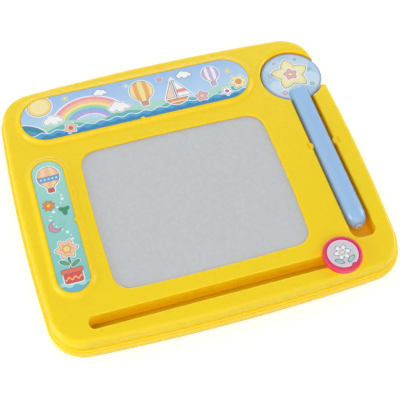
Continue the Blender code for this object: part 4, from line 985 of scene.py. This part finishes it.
def side_picture():
    """A tall label: a balloon above, a flower in its pot below, and bubbles between them."""
    art = Picture("side_print", centre(SIDE_PANEL), (128, 202, 200))
    art.fade((164, 220, 208), -52, 50)
    art.fill(art.wave(-44.5, 1.1, 10.0), (176, 226, 222))
    art.fill(art.wave(-47.0, 0.9, 8.0, 1.2), (112, 186, 208))
    for i in range(15):
        x, y = 5.6 * sin(0.75 + i * 0.56), 24.5 - i * 2.9
        art.fill(art.disc(x, y, 0.55 + 0.25 * (i % 3)), WHITE, share=0.92)
    peach, red, green, leaf = (246, 196, 148), (222, 84, 72), (58, 146, 104), (92, 172, 120)
    art.balloon(0, 38.4, 7.4, 8.0, peach, (250, 216, 178), red)
    band = art.within(art.oval(0, 38.4, 7.4, 8.0), art.slab(0, 36.6, 9, 2.0))
    art.draw(band, (112, 164, 214), line=0.3)
    for i in range(5):
        art.fill(art.disc(-5.2 + 2.6 * i, 36.6, 0.65), WHITE)
    art.draw(art.star(-4.4, 15.6, 4.4, 8, 0.34, 10), (240, 136, 44))
    art.draw(art.disc(-4.4, 15.6, 1.5), (250, 206, 84), line=0.25)
    art.draw(art.petals(5.0, 9.6, 3.9, 3, 0.26, 30), green)
    hollow = art.times(art.disc(-1.4, -0.2, 3.7), -1)
    art.draw(art.within(art.disc(-3.4, -1.6, 4.3), hollow), (228, 148, 168))
    art.draw(art.slab(0.0, -30.4, 0.7, 6.0, 0.5), green, halo=0.5)
    art.draw(art.oval(-3.4, -29.6, 3.2, 1.4, -32), leaf, halo=0.4)
    art.draw(art.oval(3.4, -31.2, 3.2, 1.4, 32), leaf, halo=0.4)
    art.flower(0, -19.8, 7.2, (250, 206, 170), red, 6, 0)
    art.fill(art.petals(0, -19.8, 4.9, 6, 0.2), (246, 178, 136))
    art.draw(art.disc(0, -19.8, 2.4), (250, 222, 120), line=0.3)
    pot = art.slab(0, -40.4, 5.9, 4.4, 1.6)
    art.draw(pot, red, halo=0.8)
    art.draw(art.slab(0, -36.0, 7.0, 1.7, 0.7), (236, 118, 92))
    for y, colour in ((-40.6, (250, 196, 152)), (-41.8, red)):
        art.fill(art.within(art.wave(y, 0.9, 4.0), pot), colour, -0.3)
    return art.printed()


def head_picture():
    """The round label on the pen's head: a star on a pale sky."""
    art = Picture("head_print", (PEN_X, DISC_Y), (176, 212, 238))
    clouds = ((-12, -9, 8, 0.7), (-3, -15, 8, 0.7), (13, -6, 7, 0.7), (10, 13, 8, 0.45))
    for x, y, radius, share in (*clouds, (-10, 12, 7, 0.45)):
        art.fill(art.disc(x, y, radius), (216, 234, 246), share=share)
    art.fill(art.ring(0, 0, 20.5, 0.9), (206, 204, 236))
    star = art.star(0, 2.2, 14.2, 5, 0.4, 90)
    art.draw(star, (243, 230, 168), line=0.42, halo=0.9)
    art.fill(star, (248, 240, 196), -1.9)
    art.flower(0, 2.2, 5.0, (240, 182, 186), (250, 236, 170))
    pink_dots = ((-14.6, 4.6, 1.3), (-9.6, -13.6, 1.6), (-8.4, 15.2, 1.1))
    green_dots = ((14.8, 3.4, 1.3), (12.4, -10.4, 1.5), (7.8, 15.0, 1.1))
    for dots, colour in ((pink_dots, (240, 196, 214)), (green_dots, (166, 212, 196))):
        for dot in dots:
            art.draw(art.disc(*dot), colour, line=0.3)
    return art.printed()


def knob_picture():
    """The round label on the eraser's knob: one flower drawn in line, with two leaves."""
    art = Picture("knob_print", (KNOB_X, SLOT_Y), (214, 210, 220))
    # The dark plum ring along the label's edge is painted shade, where the pocket's wall shades the
    # label.
    rings = ((10.0, 2.4, (248, 208, 228)), (10.5, 0.7, (150, 30, 92)), (8.9, 0.5, (232, 212, 222)))
    for radius, width, colour in rings:
        art.fill(art.ring(0, 0, radius, width), colour)
    for side in (-1, 1):
        leaf = art.oval(side * 3.9, -4.9, 2.9, 1.3, side * 34)
        art.draw(leaf, (176, 214, 196), line=0.34)
    art.draw(art.petals(0, 0.9, 5.6, 6, 0.17), WHITE, line=0.4)
    art.draw(art.petals(0, 0.9, 3.5, 6, 0.2, 30), (236, 226, 240), line=0.28)
    art.draw(art.disc(0, 0.9, 1.5), (246, 232, 170), line=0.3)
    return art.printed()


# The room


def floor():
    """White paper: it looks white to the camera and still takes the soft shadow."""
    paper = Finish("floor_paper")
    glow = {"Emission_Color": (1, 1, 1, 1), "Emission_Strength": paper.times(paper.seen(), 0.45)}
    bpy.ops.object.select_all(action="DESELECT")
    bpy.ops.mesh.primitive_plane_add(size=12, location=(0, 0, -0.00015))
    ground = bpy.context.object
    ground.name = "floor"
    ground.data.materials.append(paper.surface((0.7, 0.7, 0.7, 1), 0.9, **glow))


def softbox(name, place, size, power):
    """A square lamp that faces the middle of the board."""
    data = bpy.data.lights.new(name, "AREA")
    data.shape, data.size, data.energy = "SQUARE", size, power
    lamp = bpy.data.objects.new(name, data)
    lamp.location = place
    lamp.rotation_euler = (-Vector(place)).to_track_quat("-Z", "Y").to_euler()
    bpy.context.scene.collection.objects.link(lamp)
    return lamp


def daylight(strength):
    """A sky that gives a little light and looks white to the camera."""
    world = bpy.data.worlds.new("tent")
    bpy.context.scene.world = world
    sky = Nodes(world)
    level = sky.spread(sky.seen(), strength, 1.0, 0, 1)
    sky.feed(sky.tree.nodes["Background"], {"Color": (1, 1, 1, 1), "Strength": level})


def camera():
    data = bpy.data.cameras.new("camera")
    data.sensor_width, data.lens, data.clip_start = 36, 84.0896, 0.01
    eye = bpy.data.objects.new("camera", data)
    across, up = (0.9574075, -0.2884694, 0.0125015), (0.2351359, 0.8040632, 0.546071)
    back, place = (-0.1675768, -0.5198729, 0.8376457), (-0.1048138, -0.3438049, 0.5378764)
    rows = [(across[i], up[i], back[i], place[i]) for i in range(3)]
    eye.matrix_world = Matrix(rows + [(0, 0, 0, 1)])
    bpy.context.scene.collection.objects.link(eye)
    bpy.context.scene.camera = eye


def paint_nodes(material, nodes):
    """Gives CAD nodes that stay in view their finish."""
    for node in nodes:
        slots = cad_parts[node].data.materials
        slots.clear()
        slots.append(material)


golds = ((0.96, 0.704, 0.002, 1), (0.95, 0.684, 0.002, 1))
# The frame's yellow carries painted orange shade in its recesses and a painted glow in its slot.
yellow = moulded("yellow_plastic", *golds, 0.28, glow=0.15, shine=0.38, painted_shade_and_glow=frame_painted_shade_and_glow)
under_yellow = moulded("under_yellow_plastic", *golds, 0.24, glow=0.15, shine=0.6)
blues = ((0.305, 0.555, 0.85, 1), (0.335, 0.53, 0.84, 1))
pen_blue = moulded("pen_blue_plastic", *blues, 0.14, cloud=0.03, shine=0.6)
pinks = ((0.84, 0.04, 0.12, 1), (0.78, 0.032, 0.11, 1))
knob_pink = moulded("knob_pink_plastic", *pinks, 0.25, glow=0.06, cloud=0.01)
nib_white = moulded("nib_plastic", (0.78, 0.83, 0.92, 1), (0.7, 0.75, 0.84, 1), 0.36, cloud=0.004)
rail_white = moulded("rail_plastic", (0.82, 0.82, 0.8, 1), (0.76, 0.76, 0.74, 1), 0.45, 0.000004)
bar_grey = moulded("bar_plastic", (0.45, 0.46, 0.48, 1), (0.38, 0.39, 0.41, 1), 0.48, 0.000004)
backing = moulded("backing_film", (0.75, 0.75, 0.74, 1), (0.69, 0.69, 0.68, 1), 0.5)
film = screen_sheet("screen_film", 0.26, (0.615, 0.64, 0.66, 1), (0.5, 0.51, 0.53, 1))
cells = screen_sheet("cell_sheet", 0.45, (0.53, 0.54, 0.55, 1), (0.42, 0.43, 0.45, 1))
screw_plate = steel("screw_plate", (0.62, 0.62, 0.64, 1), 0.34)
magnet_plate = steel("magnet_plate", (0.7, 0.71, 0.73, 1), 0.3)

lower_shell(under_yellow)
upper_frame(yellow)
case_screw(screw_plate)
knob(knob_pink, knob_picture())
pen(pen_blue, head_picture(), nib_white, magnet_plate)
case_label("top_print", TOP_PANEL, top_picture(), "top_label")
case_label("side_print", SIDE_PANEL, side_picture(), "side_label")
paint_nodes(film, ["screen_front_film"])
paint_nodes(cells, ["screen_cell_sheet"])
paint_nodes(backing, ["screen_back_film"])
paint_nodes(rail_white, ["near_rail", "far_rail"])
paint_nodes(bar_grey, ["eraser_bar"])
paint_nodes(rubber("magnet_strip"), ["eraser_magnet"])
paint_nodes(screw_plate, ["knob_screw", *RAIL_SCREWS])

floor()
daylight(0.26)
key = softbox("key_softbox", (-0.33, -0.88, 1.35), 1.7, 10.4)
key.visible_glossy = False
softbox("front_softbox", (0.1, -1.5, 0.75), 1.8, 9.0)
softbox("left_softbox", (-1.0, -0.05, 0.26), 0.6, 4.8)
softbox("right_softbox", (1.0, 0.1, 0.34), 0.6, 3.2)
softbox("back_softbox", (0.2, 1.3, 0.5), 1.3, 8.2)
camera()
bpy.context.scene.view_settings.view_transform = "Standard"
